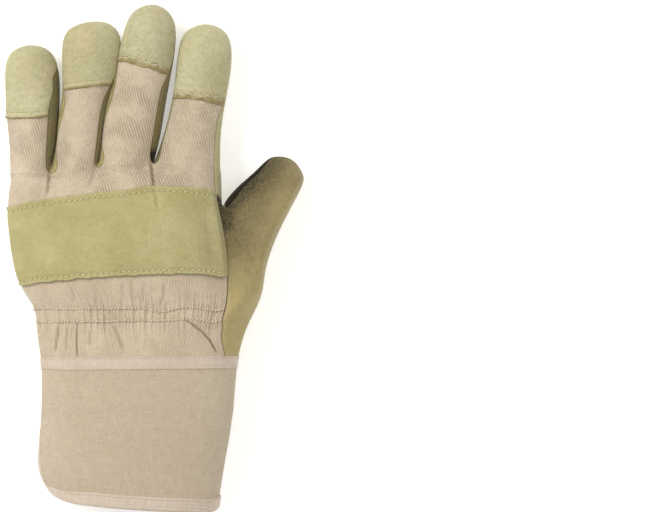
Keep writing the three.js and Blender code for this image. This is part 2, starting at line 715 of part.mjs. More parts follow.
function knuckleStrap(mediumGrid) {
  const rows = [0, 0.25, 0.5, 0.75, 1].map((t) => STRAP_TOP_ROW + (STRAP_BOTTOM_ROW - STRAP_TOP_ROW) * t);
  const columns = 24;
  const samples = rows.map((row) => Array.from({ length: columns + 1 }, (_, i) => {
    const across = i / columns;
    const crest = STRAP_CREST * Math.exp(-Math.pow((across - 0.8) / 0.16, 2)) * (STRAP_BOTTOM_ROW - row) / 2;
    const { point, normal } = mediumGrid(1 + 8 * across, crest - row);
    return { point: along(point, normal, LAYER_GAP + LEATHER_WALL), normal };
  }));
  const sheet = sheetFrom(samples);
  return meshOf('knuckle_strap', wall(sheet, sheet.faces, LEATHER_WALL), 'strapLeather');
}

function palmWelt(coarseGrid) {
  const ends = 0.12;
  const columns = [13 + ends, 13.5, 14, 14.5, 15, 15.5, 16, 16.5, 17 - ends];
  const samples = columns.map((column) => coarseGrid(column, -1));
  const places = samples.map(({ point, normal }, i) => {
    const before = samples[Math.max(i - 1, 0)].point;
    const after = samples[Math.min(i + 1, samples.length - 1)].point;
    const side = unit(cross(normal, subtract(after, before)));
    return (across, out) => along(along(point, side, across), normal, out);
  });
  const sides = 6;
  const profile = Array.from({ length: sides }, (_, i) => {
    const turn = (i + 0.5) * 2 * Math.PI / sides;
    return [WELT_RADIUS * Math.cos(turn), WELT_RADIUS * Math.sin(turn) - WELT_SINK];
  });
  return meshOf('palm_welt', sweep(places, profile, false), 'leather');
}

function wristTape(handGrid, cuffGrid) {
  const steps = 60;
  const places = Array.from({ length: steps }, (_, i) => {
    const column = 20 * i / steps;
    const seam = handGrid(column, -SEAM_ROW);
    const above = unit(subtract(handGrid(column, -SEAM_ROW + 0.25).point, seam.point));
    const below = unit(subtract(cuffGrid(column, 0.25).point, seam.point));
    return (across, out) => {
      const base = across > 0 ? along(seam.point, above, across) : along(seam.point, below, -across);
      return along(base, seam.normal, out);
    };
  });
  const inner = LAYER_GAP;
  const outer = LAYER_GAP + TAPE_WALL;
  const w = TAPE_HALF_WIDTH;
  return meshOf('wrist_tape', sweep(places, [[w, inner], [-w, inner], [-w, outer], [w, outer]], true), 'tape');
}

function veinPatch(cuffGrid) {
  const height = LAYER_GAP + TAPE_WALL + 0.3 + LEATHER_WALL;
  const samples = [];
  for (let j = 0; j <= PATCH.down; j++) {
    samples.push(Array.from({ length: PATCH.across + 1 }, (_, i) => {
      const a = i / PATCH.across;
      const corner = Math.max((Math.abs(2 * a - 1) - 1 + 2 * PATCH.cornerShare) / (2 * PATCH.cornerShare), 0);
      const bottom = PATCH.bottom - PATCH.cornerLift * corner * corner;
      const row = PATCH.top + (bottom - PATCH.top) * j / PATCH.down;
      const { point, normal } = cuffGrid(PATCH.from + (PATCH.to - PATCH.from) * a, row);
      const raised = along(point, normal, height);
      return { point: [raised[0], raised[1], Math.max(raised[2], 0)], normal };
    }));
  }
  const sheet = sheetFrom(samples);
  return meshOf('vein_patch', wall(sheet, sheet.faces, LEATHER_WALL), 'leather');
}

// The free border of the cuff as columns and rows: down the back flap of the slit, round the hem,
// up the palm flap
function cuffBorder() {
  const hemRow = CUFF_ROWS.length;
  const first = SLIT_ROW + 0.75;
  const border = [];
  for (let row = first; row < hemRow; row += 0.5) border.push({ at: [0, row], step: [1, 0] });
  border.push({ at: [0, hemRow], step: [0.7, -0.7] });
  for (let column = 0.5; column < 20; column += 0.5) border.push({ at: [column, hemRow], step: [0, -1] });
  border.push({ at: [20, hemRow], step: [-0.7, -0.7] });
  for (let row = hemRow - 0.25; row >= first; row -= 0.5) border.push({ at: [20, row], step: [-1, 0] });
  return border;
}

// A place on the border that follows the canvas inwards for as far as the binding reaches
function borderPlace(cuffGrid, at, step) {
  const trail = [{ ...cuffGrid(...at), distance: 0 }];
  for (let k = 1; trail[trail.length - 1].distance < BINDING_WIDTH; k++) {
    const next = cuffGrid(at[0] + step[0] * k * 0.25, at[1] + step[1] * k * 0.25);
    const last = trail[trail.length - 1];
    trail.push({ ...next, distance: last.distance + length(subtract(next.point, last.point)) });
  }
  const inward = unit(subtract(trail[1].point, trail[0].point));
  return (across, out) => {
    if (across <= 0) return along(along(trail[0].point, inward, across), trail[0].normal, out);
    const k = trail.findIndex((place) => place.distance >= across);
    const [near, far] = [trail[k - 1], trail[k]];
    const t = (across - near.distance) / (far.distance - near.distance);
    return along(mix(near.point, far.point, t), unit(mix(near.normal, far.normal, t)), out);
  };
}

function hemBinding(cuffGrid) {
  const places = cuffBorder().map(({ at, step }) => borderPlace(cuffGrid, at, step));
  const g = BINDING_GAP;
  const outside = g + TAPE_WALL;
  const back = -CANVAS_WALL;
  const w = BINDING_WIDTH;
  const profile = [
    [w, g], [w / 2, g], [-g, g], [-g, back - g], [w / 2, back - g], [w, back - g],
    [w, back - outside], [w / 2, back - outside], [-g, back - outside],
    [-outside, back / 2], [w / 2, outside], [w, outside],
  ];
  return meshOf('hem_binding', sweep(places, profile, false), 'tape');
}

const { cage: handCage, seamRing } = buildHandCage();
const seamPoints = seamRing.map((i) => [...handCage.points[i]]);
fitCage(handCage);
const cuffCage = fitCage(buildCuffCage(seamPoints));
const skin = smoothSurface(handCage, 1);
const mediumGrid = gridOf(smoothSurface(handCage, 2), 'hand', 0.25);
const fineGrid = gridOf(smoothSurface(handCage, 3), 'hand', 0.125);
const cuffSkin = smoothSurface(cuffCage, 1);
const cuffGrid = gridOf(smoothSurface(cuffCage, 2), 'cuff', 0.25);

const glove = new THREE.Group();
glove.name = 'leather_work_glove';
glove.add(
  ...sewnPanels(skin),
  wristCloth(fineGrid),
  knuckleStrap(mediumGrid),
  palmWelt(gridOf(skin, 'hand', 0.5)),
  meshOf('safety_cuff', wall(cuffSkin, cuffSkin.faces, CANVAS_WALL), 'canvas'),
  wristTape(mediumGrid, cuffGrid),
  veinPatch(cuffGrid),
  hemBinding(cuffGrid),
);

export default glove;
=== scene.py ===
# %% [markdown]
# A leather work glove for the left hand lies palm down on a pale floor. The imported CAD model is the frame:
# it fixes where every panel is and how big it is. Each cell below makes one part of the glove as it is
# really sewn, and hides the plain CAD solid that it stands for.

import bpy
import numpy as np
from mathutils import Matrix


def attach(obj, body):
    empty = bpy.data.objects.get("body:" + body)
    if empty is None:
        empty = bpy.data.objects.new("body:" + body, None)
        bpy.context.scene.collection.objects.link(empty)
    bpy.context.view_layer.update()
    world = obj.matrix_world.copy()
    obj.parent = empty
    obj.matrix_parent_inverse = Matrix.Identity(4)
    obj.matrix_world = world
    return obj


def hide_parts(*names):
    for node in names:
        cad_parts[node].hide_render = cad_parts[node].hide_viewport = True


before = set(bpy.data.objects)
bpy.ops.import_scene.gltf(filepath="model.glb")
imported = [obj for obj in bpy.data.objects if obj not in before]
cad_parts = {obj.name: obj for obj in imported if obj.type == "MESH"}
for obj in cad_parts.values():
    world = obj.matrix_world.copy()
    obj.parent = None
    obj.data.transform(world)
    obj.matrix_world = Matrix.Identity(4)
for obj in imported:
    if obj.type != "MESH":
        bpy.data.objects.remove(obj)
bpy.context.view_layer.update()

MM = 0.001
rng = np.random.default_rng(1105)
print("frame:", len(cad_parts), "nodes")

# %% [markdown]
# A sewn glove has no corners and no flat faces, so its skin is best drawn as a coarse cage of quads that
# is smoothed. The cage is described by short tables of rings: the sections of each finger, of the hand, of
# the thumb and of the cuff, in millimetres. They start from the CAD model's own tables and differ from them by
# a millimetre or two, where cloth and leather bulge or fold.

# %% Sizes of walls, seams and raised details
LEATHER_WALL = 1.3
CLOTH_WALL = 1.3
CANVAS_WALL = 1.4
TAPE_WALL = 0.8
LAYER_GAP = 0.5
TAPE_HALF_WIDTH = 3.4
BINDING_WIDTH = 6.5
SEAM_GAP = 0.04
FAR_FROM_SEAM = 9.0
BACK_POWER, PALM_POWER, THUMB_POWER = 2.2, 2.8, 2.2

# %% Finger tables: left x y, right x y, crown, under
PALM_STOPS = np.array([0.72, 0, -0.72])
FINGERS = {
    "little": dict(
        seams=(-0.93, -0.1, 0.62), hem=2, cap="little_cap", start="palm", end="little_ring", front="palm",
        tip=(-66.5, 113.2, 11), hem_sag=(-1.0, -1.5, -1.0),
        rings=[(-77.0, 44.0, -55.5, 44.0, 27.0, 0.8), (-77.2, 57.5, -53.1, 57.5, 25.5, 0.5),
               (-78.7, 75.0, -51.4, 76.0, 25.0, 0.0), (-79.4, 89.0, -50.9, 90.0, 24.6, 0.0),
               (-79.4, 101.0, -52.2, 101.5, 23.8, 0.6), (-75.9, 109.4, -56.6, 109.8, 19.5, 4.2)]),
    "ring": dict(
        seams=(-0.84, 0, 0.78), hem=3, cap="ring_cap", start="little_ring", end="ring_middle", front="fronts",
        tip=(-32.5, 126.0, 12), hem_sag=(0.0, 0.3, 0.8),
        rings=[(-55.5, 44.0, -30.0, 47.5, 28.0, 0.9), (-53.0, 57.5, -28.3, 59.0, 27.0, 0.6),
               (-51.3, 74.5, -26.0, 76.0, 26.5, 0.2), (-49.2, 89.0, -22.0, 92.0, 26.5, 0.0),
               (-49.4, 109.0, -18.2, 110.5, 25.6, 0.3), (-45.8, 121.2, -21.4, 122.2, 19.8, 4.6)]),
    "middle": dict(
        seams=(-0.88, 0, 0.78), hem=3, cap="middle_cap", start="ring_middle", end="middle_index", front="fronts",
        tip=(-1.5, 135.0, 12), hem_sag=(1.9, 1.3, 0.0),
        rings=[(-30.0, 47.5, 0.0, 49.5, 29.0, 0.9), (-28.2, 62.0, 2.7, 63.0, 28.0, 0.6),
               (-25.6, 81.0, 5.7, 80.5, 27.5, 0.2), (-19.6, 104.3, 8.8, 97.5, 27.0, 0.0),
               (-16.2, 119.5, 11.4, 118.5, 25.3, 0.4), (-11.6, 130.2, 7.6, 130.4, 20.0, 4.6)]),
    "index": dict(
        seams=(-0.84, 0, 0.84), hem=2, cap="index_cap", start="middle_index", end="palm", front="palm",
        tip=(27.3, 124.5, 12), hem_sag=(0.8, 1.5, 1.0),
        rings=[(0.0, 49.5, 35.0, 48.5, 28.5, 0.9), (5.0, 64.5, 35.4, 65.0, 27.0, 0.5),
               (9.9, 84.8, 37.6, 81.0, 26.5, 0.0), (11.6, 99.0, 40.6, 98.5, 26.0, 0.0),
               (13.3, 111.0, 40.9, 111.5, 24.5, 0.8), (16.9, 119.8, 37.4, 120.2, 19.5, 4.6)]),
}
# x, y, then the heights of the back, middle and palm point of each web, and how far its middle slopes forward
WEBS = [(-55.5, 44.0, 21.5, 13.0, 5.0, 6.5), (-30.0, 47.5, 22.5, 13.5, 5.0, 4.0), (0.0, 49.5, 22.5, 13.5, 5.0, 1.5)]

# %% Hand, thumb and cuff tables
# left x y, middle y, seam x y, right x y, crown, side, under, dip between the fingers
HAND_ROWS = [
    (-77.0, 39.5, 43.0, 32.5, 43.5, 35.5, 42.5, 30.0, 13.5, 0.9, 2.6),
    (-78.3, 26.5, 33.6, 33.5, 32.6, 36.0, 26.5, 34.3, 15.0, -0.8, 0.4),
    (-76.3, 5.5, 10.5, 37.5, 10.5, 41.0, 10.5, 40.0, 17.5, -1.2, 0),
    (-71.5, -15.5, -11.0, 39.5, -10.5, 42.5, -11.0, 42.5, 19.5, -1.2, 0),
    (-64.6, -27.6, -27.0, 38.5, -27.0, 46.0, -27.0, 42.5, 20.5, -0.8, 0),
    (-62.5, -41.0, -40.0, 37.0, -38.5, 49.4, -38.5, 43.5, 21.5, 0.9, 0),
    (-60.0, -58.0, -57.5, 39.5, -57.0, 44.5, -57.0, 46.0, 23.5, 2.85, 0),
]
BACK_FRACTIONS = np.array([0, 0.1, 0.197, 0.316, 0.433, 0.569, 0.707, 0.865, 1])
PALM_FRACTIONS = np.array([0.95, 0.845, 0.69, 0.57, 0.425, 0.31, 0.205, 0.13, 0.045])
BACK_LEFT_STOP = -0.96
ROW_POWERS = [3.6, 2.5, 2.2, 2.2, 2.2, 2.2, 2.2]
STRAP_TOP_ROW, STRAP_MIDDLE_ROW, STRAP_BOTTOM_ROW, THUMB_LAST_ROW, SEAM_ROW = 2, 3, 4, 6, 7
ROUND = 20  # steps once round the hand and once round the cuff
# inner x y, outer x y, crown, under
THUMB_RINGS = [
    (37.4, 29.9, 57.0, -23.8, 28.5, 0.6), (45.0, 38.3, 60.0, -8.2, 28.0, 0.6),
    (53.0, 45.4, 66.4, 11.0, 26.5, 0.7), (60.3, 51.9, 76.1, 30.3, 24.5, 1.2),
    (65.8, 53.5, 80.2, 40.0, 21.0, 4.0),
]
THUMB_TIP = (75.7, 50.1, 12.5)
THUMB_BACK_STOPS = np.array([-0.8, -0.42, 0, 0.42, 0.82])
THUMB_PALM_STOPS = np.array([0.84, 0.42, 0, -0.42, -0.84])
THUMB_SEAM_STOP, THUMB_SEAM_TILT = 0.96, 0.32
# left x y, middle y, right x y, crown, side, under, half height of the slit
CUFF_ROWS = [
    (-60.5, -83.5, -83.5, 42.0, -83.5, 49.0, 24.5, 2.8, 0),
    (-61.3, -98.5, -99.5, 40.0, -98.5, 50.0, 25.0, 2.6, 3.2),
    (-61.8, -112.0, -116.5, 37.5, -112.5, 50.0, 25.0, 1.9, 5.0),
    (-58.6, -121.5, -133.5, 34.0, -128.0, 49.0, 25.0, 1.35, 6.5),
]
CUFF_LEFT_STOPS = (-0.955, -0.94, -0.9, -0.88)
SLIT_ROW, HEM_ROW = 1, len(CUFF_ROWS)
HEM_DROPS = np.array([0, 6.0, 8.4, 9.0, 9.3, 9.5, 9.5, 9.4, 9.0, 8.4, 6.5])
PATCH_FROM, PATCH_TO, PATCH_TOP, PATCH_BOTTOM = 11.6, 18.75, 0.05, 1.0

# %% [markdown]
# Three formulas turn a table row into a ring of points. A section is a superellipse, so a finger is round
# on its back and flatter underneath. Seams sit where the real panels meet.

# %% From table rows to rings of points
def arch(stop, power):
    """Height of a rounded section: (1 - |stop|^power)^(1/power), 0 at the sides and 1 at the crown."""
    return np.maximum(1 - np.abs(stop) ** power, 0) ** (1 / power)


def bow(left, middle, right, t):
    """The quadratic curve through a left, a middle and a right value."""
    return left * (1 - t) * (1 - 2 * t) + middle * 4 * t * (1 - t) + right * t * (2 * t - 1)


def across(row, stops, heights):
    """Points on the line from the row's first place to its second, at stops from -1 to 1."""
    t = (stops + 1) / 2
    return np.stack([row[0] + (row[2] - row[0]) * t, row[1] + (row[3] - row[1]) * t, heights], 1)


def finger_ring(row, seams):
    """Start side, three points on the back, end side, three on the front."""
    middle, rise = (row[4] + row[5]) / 2, (row[4] - row[5]) / 2
    stops = np.array([-1, *seams, 1, *PALM_STOPS])
    heights = middle + rise * np.array([0, 1, 1, 1, 0, -1, -1, -1]) * np.where(
        np.arange(8) < 5, arch(stops, BACK_POWER), arch(stops, PALM_POWER))
    return across(row, stops, heights)


def hand_ring(row, power=BACK_POWER, left_stop=BACK_LEFT_STOP):
    """Left side, nine points on the back, right side, nine on the palm. A higher power is a fuller back."""
    lx, ly, my, sx, sy, rx, ry, crown, side, under, dip = row
    centre, half = (lx + rx) / 2, (rx - lx) / 2
    start = centre + half * left_stop
    back_x = start + (sx - start) * BACK_FRACTIONS
    palm_x = lx + (rx - lx) * PALM_FRACTIONS
    between = np.isin(np.arange(9), (2, 4, 6))
    back_z = side + (crown - side) * arch((back_x - centre) / half, power) - dip * between
    palm_z = side + (under - side) * arch((palm_x - centre) / half, power + PALM_POWER - BACK_POWER)
    back = np.stack([back_x, bow(ly, my, sy, BACK_FRACTIONS), back_z], 1)
    palm = np.stack([palm_x, bow(ly, my, ry, PALM_FRACTIONS), palm_z], 1)
    return np.vstack([(lx, ly, side), back, (rx, ry, side), palm])


def thumb_ring(row):
    """Seam on the finger side, five points on the back, outer seam, five on the palm side."""
    middle, rise = (row[4] + row[5]) / 2, (row[4] - row[5]) / 2
    s, tilt = THUMB_SEAM_STOP, THUMB_SEAM_TILT
    stops = np.array([-s, *THUMB_BACK_STOPS, s, *THUMB_PALM_STOPS])
    rises = np.array([tilt, *arch(THUMB_BACK_STOPS, THUMB_POWER), -tilt, *-arch(THUMB_PALM_STOPS, THUMB_POWER)])
    return across(row, stops, middle + rise * rises)


print("widest hand row:", round(max(r[5] - r[0] for r in HAND_ROWS), 1), "mm")

# %% [markdown]
# The cage joins the rings with quads. Every quad knows which panel it belongs to, and a column and row at
# each corner, so that a panel can be cut out of the smooth skin and a trim can be laid at a column and row.

# %% The cage of quads
PANELS = ["palm", "fronts", "little_ring", "ring_middle", "middle_index", "thumb", "finger_backs", "wrist",
          "little_cap", "ring_cap", "middle_cap", "index_cap", "cuff"]
REGIONS = ["little", "ring", "middle", "index", "hand", "thumb", "cuff"]


def corner_places(columns, rows):
    """The column and row at the four corners of each quad."""
    return np.stack([np.stack([c, 0 * c + r], 1) for c, r in zip(columns, rows)], 1)


class Cage:
    """Points, quads, the column and row of each corner, and each quad's panel and region, as arrays."""

    def __init__(self):
        self.points = np.zeros((0, 3))
        self.faces = np.zeros((0, 4), int)
        self.uv = np.zeros((0, 4, 2))
        self.panel = np.zeros(0, int)
        self.region = np.zeros(0, int)

    def add_points(self, block):
        first = len(self.points)
        self.points = np.vstack([self.points, np.reshape(block, (-1, 3))])
        return np.arange(first, len(self.points))

    def add_faces(self, faces, uv, panels, region):
        self.faces = np.vstack([self.faces, faces])
        self.uv = np.vstack([self.uv, uv])
        self.panel = np.append(self.panel, [PANELS.index(p) for p in panels])
        self.region = np.append(self.region, np.full(len(faces), REGIONS.index(region)))

    def add_band(self, near, far, row, region, panels):
        """One quad between two rings at each step; a step whose panel is None stays open."""
        i = np.array([k for k, p in enumerate(panels) if p])
        j = (i + 1) % len(near)
        uv = corner_places((i, i, i + 1, i + 1), (row + 1, row, row, row + 1))
        self.add_faces(np.stack([far[i], near[i], near[j], far[j]], 1), uv, [p for p in panels if p], region)

    def close_tip(self, ring, tip, row, region, back, front):
        """A middle line closes the ring with quads: an arc of a circle from its start side over the tip."""
        half = len(ring) // 2
        spread = (np.arange(2, half - 1)[:, None] - half / 2) / (half / 2 - 1)
        start, end = self.points[ring[0]], self.points[ring[half]]
        centre = (start + end) / 2
        bend = 2 * np.arctan2(np.linalg.norm(tip - centre), np.linalg.norm(end - centre))
        turn = np.abs(spread) * bend
        sides = np.where(spread < 0, start, end) - centre
        rise = (np.cos(turn) - np.cos(bend)) / (1 - np.cos(bend))
        inner = self.add_points(centre + sides * np.sin(turn) / np.sin(bend) + (tip - centre) * rise)
        middle = np.concatenate([[ring[0]], inner, [ring[half]]])
        i = np.arange(len(middle) - 1)
        uv = corner_places((i, i + 1, i + 2, i + 1), (row + 1, row, row, row + 1))
        backs = np.stack([middle[i], ring[i + 1], ring[i + 2], middle[i + 1]], 1)
        fronts = np.stack([middle[i + 1], ring[2 * half - i - 2], ring[2 * half - i - 1], middle[i]], 1)
        self.add_faces(backs, uv, [back] * len(i), region)
        self.add_faces(fronts, uv, [front] * len(i), region)

# %% Fingers on the cage
def add_finger(cage, name, finger, before, after):
    """Rings from the web to the tip; the three web points at each side are shared with the neighbour."""
    rings = [finger_ring(row, finger["seams"]) for row in finger["rings"]]
    base = np.full(8, -1)
    if before is not None:
        base[[0, 1, 7]] = before[[1, 0, 2]]
    if after is not None:
        base[[3, 4, 5]] = after[[0, 1, 2]]
    own = base < 0
    base[own] = cage.add_points(rings[0][own])
    near, last = base, len(rings) - 2
    for k, ring in enumerate(rings[1:]):
        far = cage.add_points(ring)
        cap, front = finger["cap"], finger["front"]
        back = cap if k >= finger["hem"] else "finger_backs"
        sides, ends = ([cap, front] if k == last else [finger[side]] * 2 for side in ("start", "end"))
        panels = [sides[0], back, back, ends[0], ends[1], front, front, sides[1]]
        cage.add_band(near, far, k, name, panels)
        near = far
    cage.close_tip(near, finger["tip"], len(rings) - 1, name, finger["cap"], finger["front"])
    return base

# %% Hand and thumb on the cage
def hand_panels(r):
    """The panel of each step round the hand in row r."""
    panels = ["palm"] * ROUND
    panels[1:9] = ["finger_backs" if r < STRAP_MIDDLE_ROW else "wrist"] * 8
    if r == 0:
        panels[13:17] = ["fronts"] * 4
    if STRAP_TOP_ROW <= r < THUMB_LAST_ROW:
        panels[9:11] = [None, None]
    elif r >= THUMB_LAST_ROW:
        panels[9] = "thumb"
    return panels


def hand_cage():
    cage = Cage()
    webs = [cage.add_points([(x, y, back), (x, y + rise, middle), (x, y, palm)])
            for x, y, back, middle, palm, rise in WEBS]
    bases = [add_finger(cage, name, finger, webs[i - 1] if i else None, webs[i] if i < 3 else None)
             for i, (name, finger) in enumerate(FINGERS.items())]
    top = [bases[0][:4], *(b[2:4] for b in bases[1:3]), bases[3][2:5]]
    under = [bases[3][5:8], bases[2][6:8], bases[1][6:8], bases[0][6:8]]
    rows = [np.concatenate(top + under)]
    for r, row in enumerate(HAND_ROWS):
        ring = hand_ring(row, ROW_POWERS[r])
        used = np.ones(ROUND, bool)
        used[10] = not STRAP_TOP_ROW < r + 1 < THUMB_LAST_ROW
        following = np.full(ROUND, -1)
        following[used] = cage.add_points(ring[used])
        cage.add_band(following, rows[r], -r - 1, "hand", hand_panels(r))
        rows.append(following)
    beside = np.array(rows[STRAP_TOP_ROW:THUMB_LAST_ROW + 1])
    near = np.concatenate([beside[:1, 10], beside[:, 9], beside[-1:, 10], beside[::-1, 11]])
    for k, row in enumerate(THUMB_RINGS):
        far = cage.add_points(thumb_ring(row))
        cage.add_band(near, far, k, "thumb", ["thumb"] * 6 + ["palm"] * 6)
        near = far
    cage.close_tip(near, THUMB_TIP, len(THUMB_RINGS), "thumb", "thumb", "palm")
    return cage, cage.points[rows[SEAM_ROW]].copy()

# %% The cuff has a cage of its own, cut open along its left column below the slit row
def cuff_cage(seam_points):
    cage = Cage()
    near = cage.add_points(seam_points)
    near_cut = near[0]
    i = np.arange(ROUND)
    step = np.minimum(i, ROUND - i)
    for r, (lx, ly, my, rx, ry, crown, side, under, slit) in enumerate(CUFF_ROWS):
        ring = hand_ring((lx, ly, my, rx - 4, ry, rx, ry, crown, side, under, 0), left_stop=CUFF_LEFT_STOPS[r])
        if r == len(CUFF_ROWS) - 1:
            ring[:, 1] = ly + (ry - ly) * (ring[:, 0] - lx) / (rx - lx) - HEM_DROPS[step]
        ring[0, 2] += slit
        far = cage.add_points(ring)
        far_cut = cage.add_points(ring[0] - (0, 0, 2 * slit))[0] if slit else far[0]
        near_end, far_end = np.append(near[1:], near_cut), np.append(far[1:], far_cut)
        uv = corner_places((i, i, i + 1, i + 1), (r, r + 1, r + 1, r))
        cage.add_faces(np.stack([near, far, far_end, near_end], 1), uv, ["cuff"] * ROUND, "cuff")
        near, near_cut = far, far_cut
    return cage

# %% [markdown]
# Catmull-Clark subdivision smooths the cage. Written with numpy it is a handful of averages over whole
# arrays, and the columns, rows and panels ride along, which Blender's own modifier would not keep apart.
# The cage is first moved until the smooth skin passes through the table's points.

# %% Averages over faces and edges
def edges_of(faces):
    """Every edge once: its two ends, the edge number of each side of each quad, and how many quads use it."""
    size = faces.max() + 1
    a, b = faces, np.roll(faces, -1, 1)
    key = np.minimum(a, b) * size + np.maximum(a, b)
    key, side, count = np.unique(key.ravel(), return_inverse=True, return_counts=True)
    return np.stack(np.divmod(key, size), 1), side.reshape(faces.shape), count


def pour(index, values, size):
    """Adds each value into the bin that its index names."""
    return np.stack([np.bincount(index.ravel(), values[..., k].ravel(), size) for k in range(values.shape[-1])], 1)


def unit(v):
    return v / np.maximum(np.linalg.norm(v, axis=-1, keepdims=True), 1e-12)


def rim_of(points, ends, count):
    """Which points lie on an open border, and the sum of their two neighbours along it."""
    rim = ends[count == 1]
    on_rim = np.bincount(rim.ravel(), minlength=len(points))[:, None] > 0
    return on_rim, pour(rim, points[rim[:, ::-1]], len(points))


def limit_points(points, faces):
    """Where each cage point lands on the smooth skin: inside (n^2 P + 4 sum of neighbours + sum of
    opposite corners) / (n (n + 5)), and on a rim (a + 4 P + b) / 6."""
    ends, _, count = edges_of(faces)
    size = len(points)
    n = np.bincount(ends.ravel(), minlength=size)[:, None]
    on_rim, beside = rim_of(points, ends, count)
    near = pour(ends, points[ends[:, ::-1]], size)
    opposite = pour(faces, points[np.roll(faces, 2, 1)], size)
    inside = (n * n * points + 4 * near + opposite) / (n * (n + 5))
    return np.where(on_rim, (4 * points + beside) / 6, inside)

# %% One step of subdivision
def refine(cage):
    """Quads become four: new points at face middles, at edges and at the old points moved to averages."""
    points, faces = cage.points, cage.faces
    size = len(points)
    ends, side, count = edges_of(faces)
    middles, halves = points[faces].mean(1), points[ends].mean(1)
    each = np.repeat(middles[:, None], 4, 1)
    on_edge = np.where((count == 2)[:, None], (2 * halves + pour(side, each, len(ends))) / 4, halves)
    n = np.bincount(ends.ravel(), minlength=size)[:, None]
    around = pour(faces, each, size) / np.bincount(faces.ravel(), minlength=size)[:, None]
    spokes = pour(ends, np.repeat(halves[:, None], 2, 1), size) / n
    on_rim, beside = rim_of(points, ends, count)
    moved = np.where(on_rim, (6 * points + beside) / 8, (around + 2 * spokes + (n - 3) * points) / n)
    finer = Cage()
    finer.points = np.vstack([moved, on_edge, middles])
    edge, centre = side + size, np.repeat(np.arange(len(faces))[:, None] + size + len(ends), 4, 1)
    finer.faces = np.stack([faces, edge, centre, np.roll(edge, 1, 1)], 2).reshape(-1, 4)
    uv, middle_uv = cage.uv, np.repeat(cage.uv.mean(1)[:, None], 4, 1)
    after = (uv + np.roll(uv, -1, 1)) / 2
    finer.uv = np.stack([uv, after, middle_uv, np.roll(after, 1, 1)], 2).reshape(-1, 4, 2)
    finer.panel, finer.region = np.repeat(cage.panel, 4), np.repeat(cage.region, 4)
    return finer


def normals_of(points, faces):
    a, b, c, d = (points[faces[:, k]] for k in range(4))
    cross = np.cross(c - a, d - b)
    return unit(pour(faces, np.repeat(cross[:, None], 4, 1), len(points)))

# %% Smooth skins of hand and cuff
LEVEL = 4
STEP = 2 ** LEVEL


def smooth_skin(cage, levels=LEVEL):
    """Fits the cage to its own points, refines it and presses it flat where it meets the floor."""
    targets = cage.points.copy()
    for _ in range(8):
        cage.points = cage.points + targets - limit_points(cage.points, cage.faces)
    for _ in range(levels):
        cage = refine(cage)
    cage.points = limit_points(cage.points, cage.faces)
    cage.points[:, 2] = np.maximum(cage.points[:, 2], 0)
    cage.normals = normals_of(cage.points, cage.faces)
    return cage


coarse, seam_points = hand_cage()
skin = smooth_skin(coarse)
cuff_skin = smooth_skin(cuff_cage(seam_points))
print("hand skin:", len(skin.faces), "quads; cuff:", len(cuff_skin.faces), "quads")
print("skin box:", skin.points.min(0).round(1), skin.points.max(0).round(1))

# %% Looking up the skin by column and row
def to_points(faces, corners, count):
    """Values kept at the corners of the quads, given to the points that the corners meet in."""
    values = np.zeros((count, *corners.shape[2:]), corners.dtype)
    values[faces.ravel()] = corners.reshape(-1, *corners.shape[2:])
    return values


TIP_ROW = 5


def ringed(surface, region):
    """The region's quads below the closed tip, where columns and rows name one place each."""
    return (surface.region == REGIONS.index(region)) & (surface.uv[..., 1].max(1) <= TIP_ROW + 1e-6)


def index_grid(surface, region):
    """Vertex numbers laid out by column and row, and the lowest column and row."""
    mine = ringed(surface, region)
    cells = np.rint(surface.uv[mine] * STEP).astype(int).reshape(-1, 2)
    low = cells.min(0)
    grid = np.full(cells.max(0) - low + 1, -1)
    grid[tuple((cells - low).T)] = surface.faces[mine].ravel()
    return grid, low


def look_up(surface, region):
    """A function of columns and rows that mixes the four nearest skin points and normals."""
    grid, low = index_grid(surface, region)

    def at(column, row):
        column, row = np.broadcast_arrays(np.asarray(column, float), np.asarray(row, float))
        c, r = column * STEP - low[0], row * STEP - low[1]
        c0 = np.clip(np.floor(c + 1e-9).astype(int), 0, grid.shape[0] - 2)
        r0 = np.clip(np.floor(r + 1e-9).astype(int), 0, grid.shape[1] - 2)
        s, t = (c - c0)[..., None], (r - r0)[..., None]
        total = 0
        for dc, dr, weight in ((0, 0, (1 - s) * (1 - t)), (1, 0, s * (1 - t)), (0, 1, (1 - s) * t), (1, 1, s * t)):
            k = grid[c0 + dc, r0 + dr]
            k = np.where(k < 0, grid[c0, r0], k)
            total = total + weight * np.concatenate([surface.points[k], surface.normals[k]], -1)
        return total[..., :3], unit(total[..., 3:])

    return at

# %% [markdown]
# Where a seam shows depends on the finger. Below a cap the side wall can be seen as a narrow strip, but the
# caps themselves wrap round to the outline, and so do the strap and the cloth at the outer edge of the hand.
# So the seam lines slide along the finished skin, which keeps its shape.

# %% Sliding seam lines along the skin
def hat(x):
    """1 at 0, falling in straight lines to 0 at -1 and 1."""
    return np.maximum(1 - np.abs(x), 0)


def smoothstep(x, low, high):
    t = np.clip((x - low) / (high - low), 0, 1)
    return t * t * (3 - 2 * t)


WEB_SHOWN = {"little": 0, "ring": 0.13, "middle": 0.07, "index": 0}


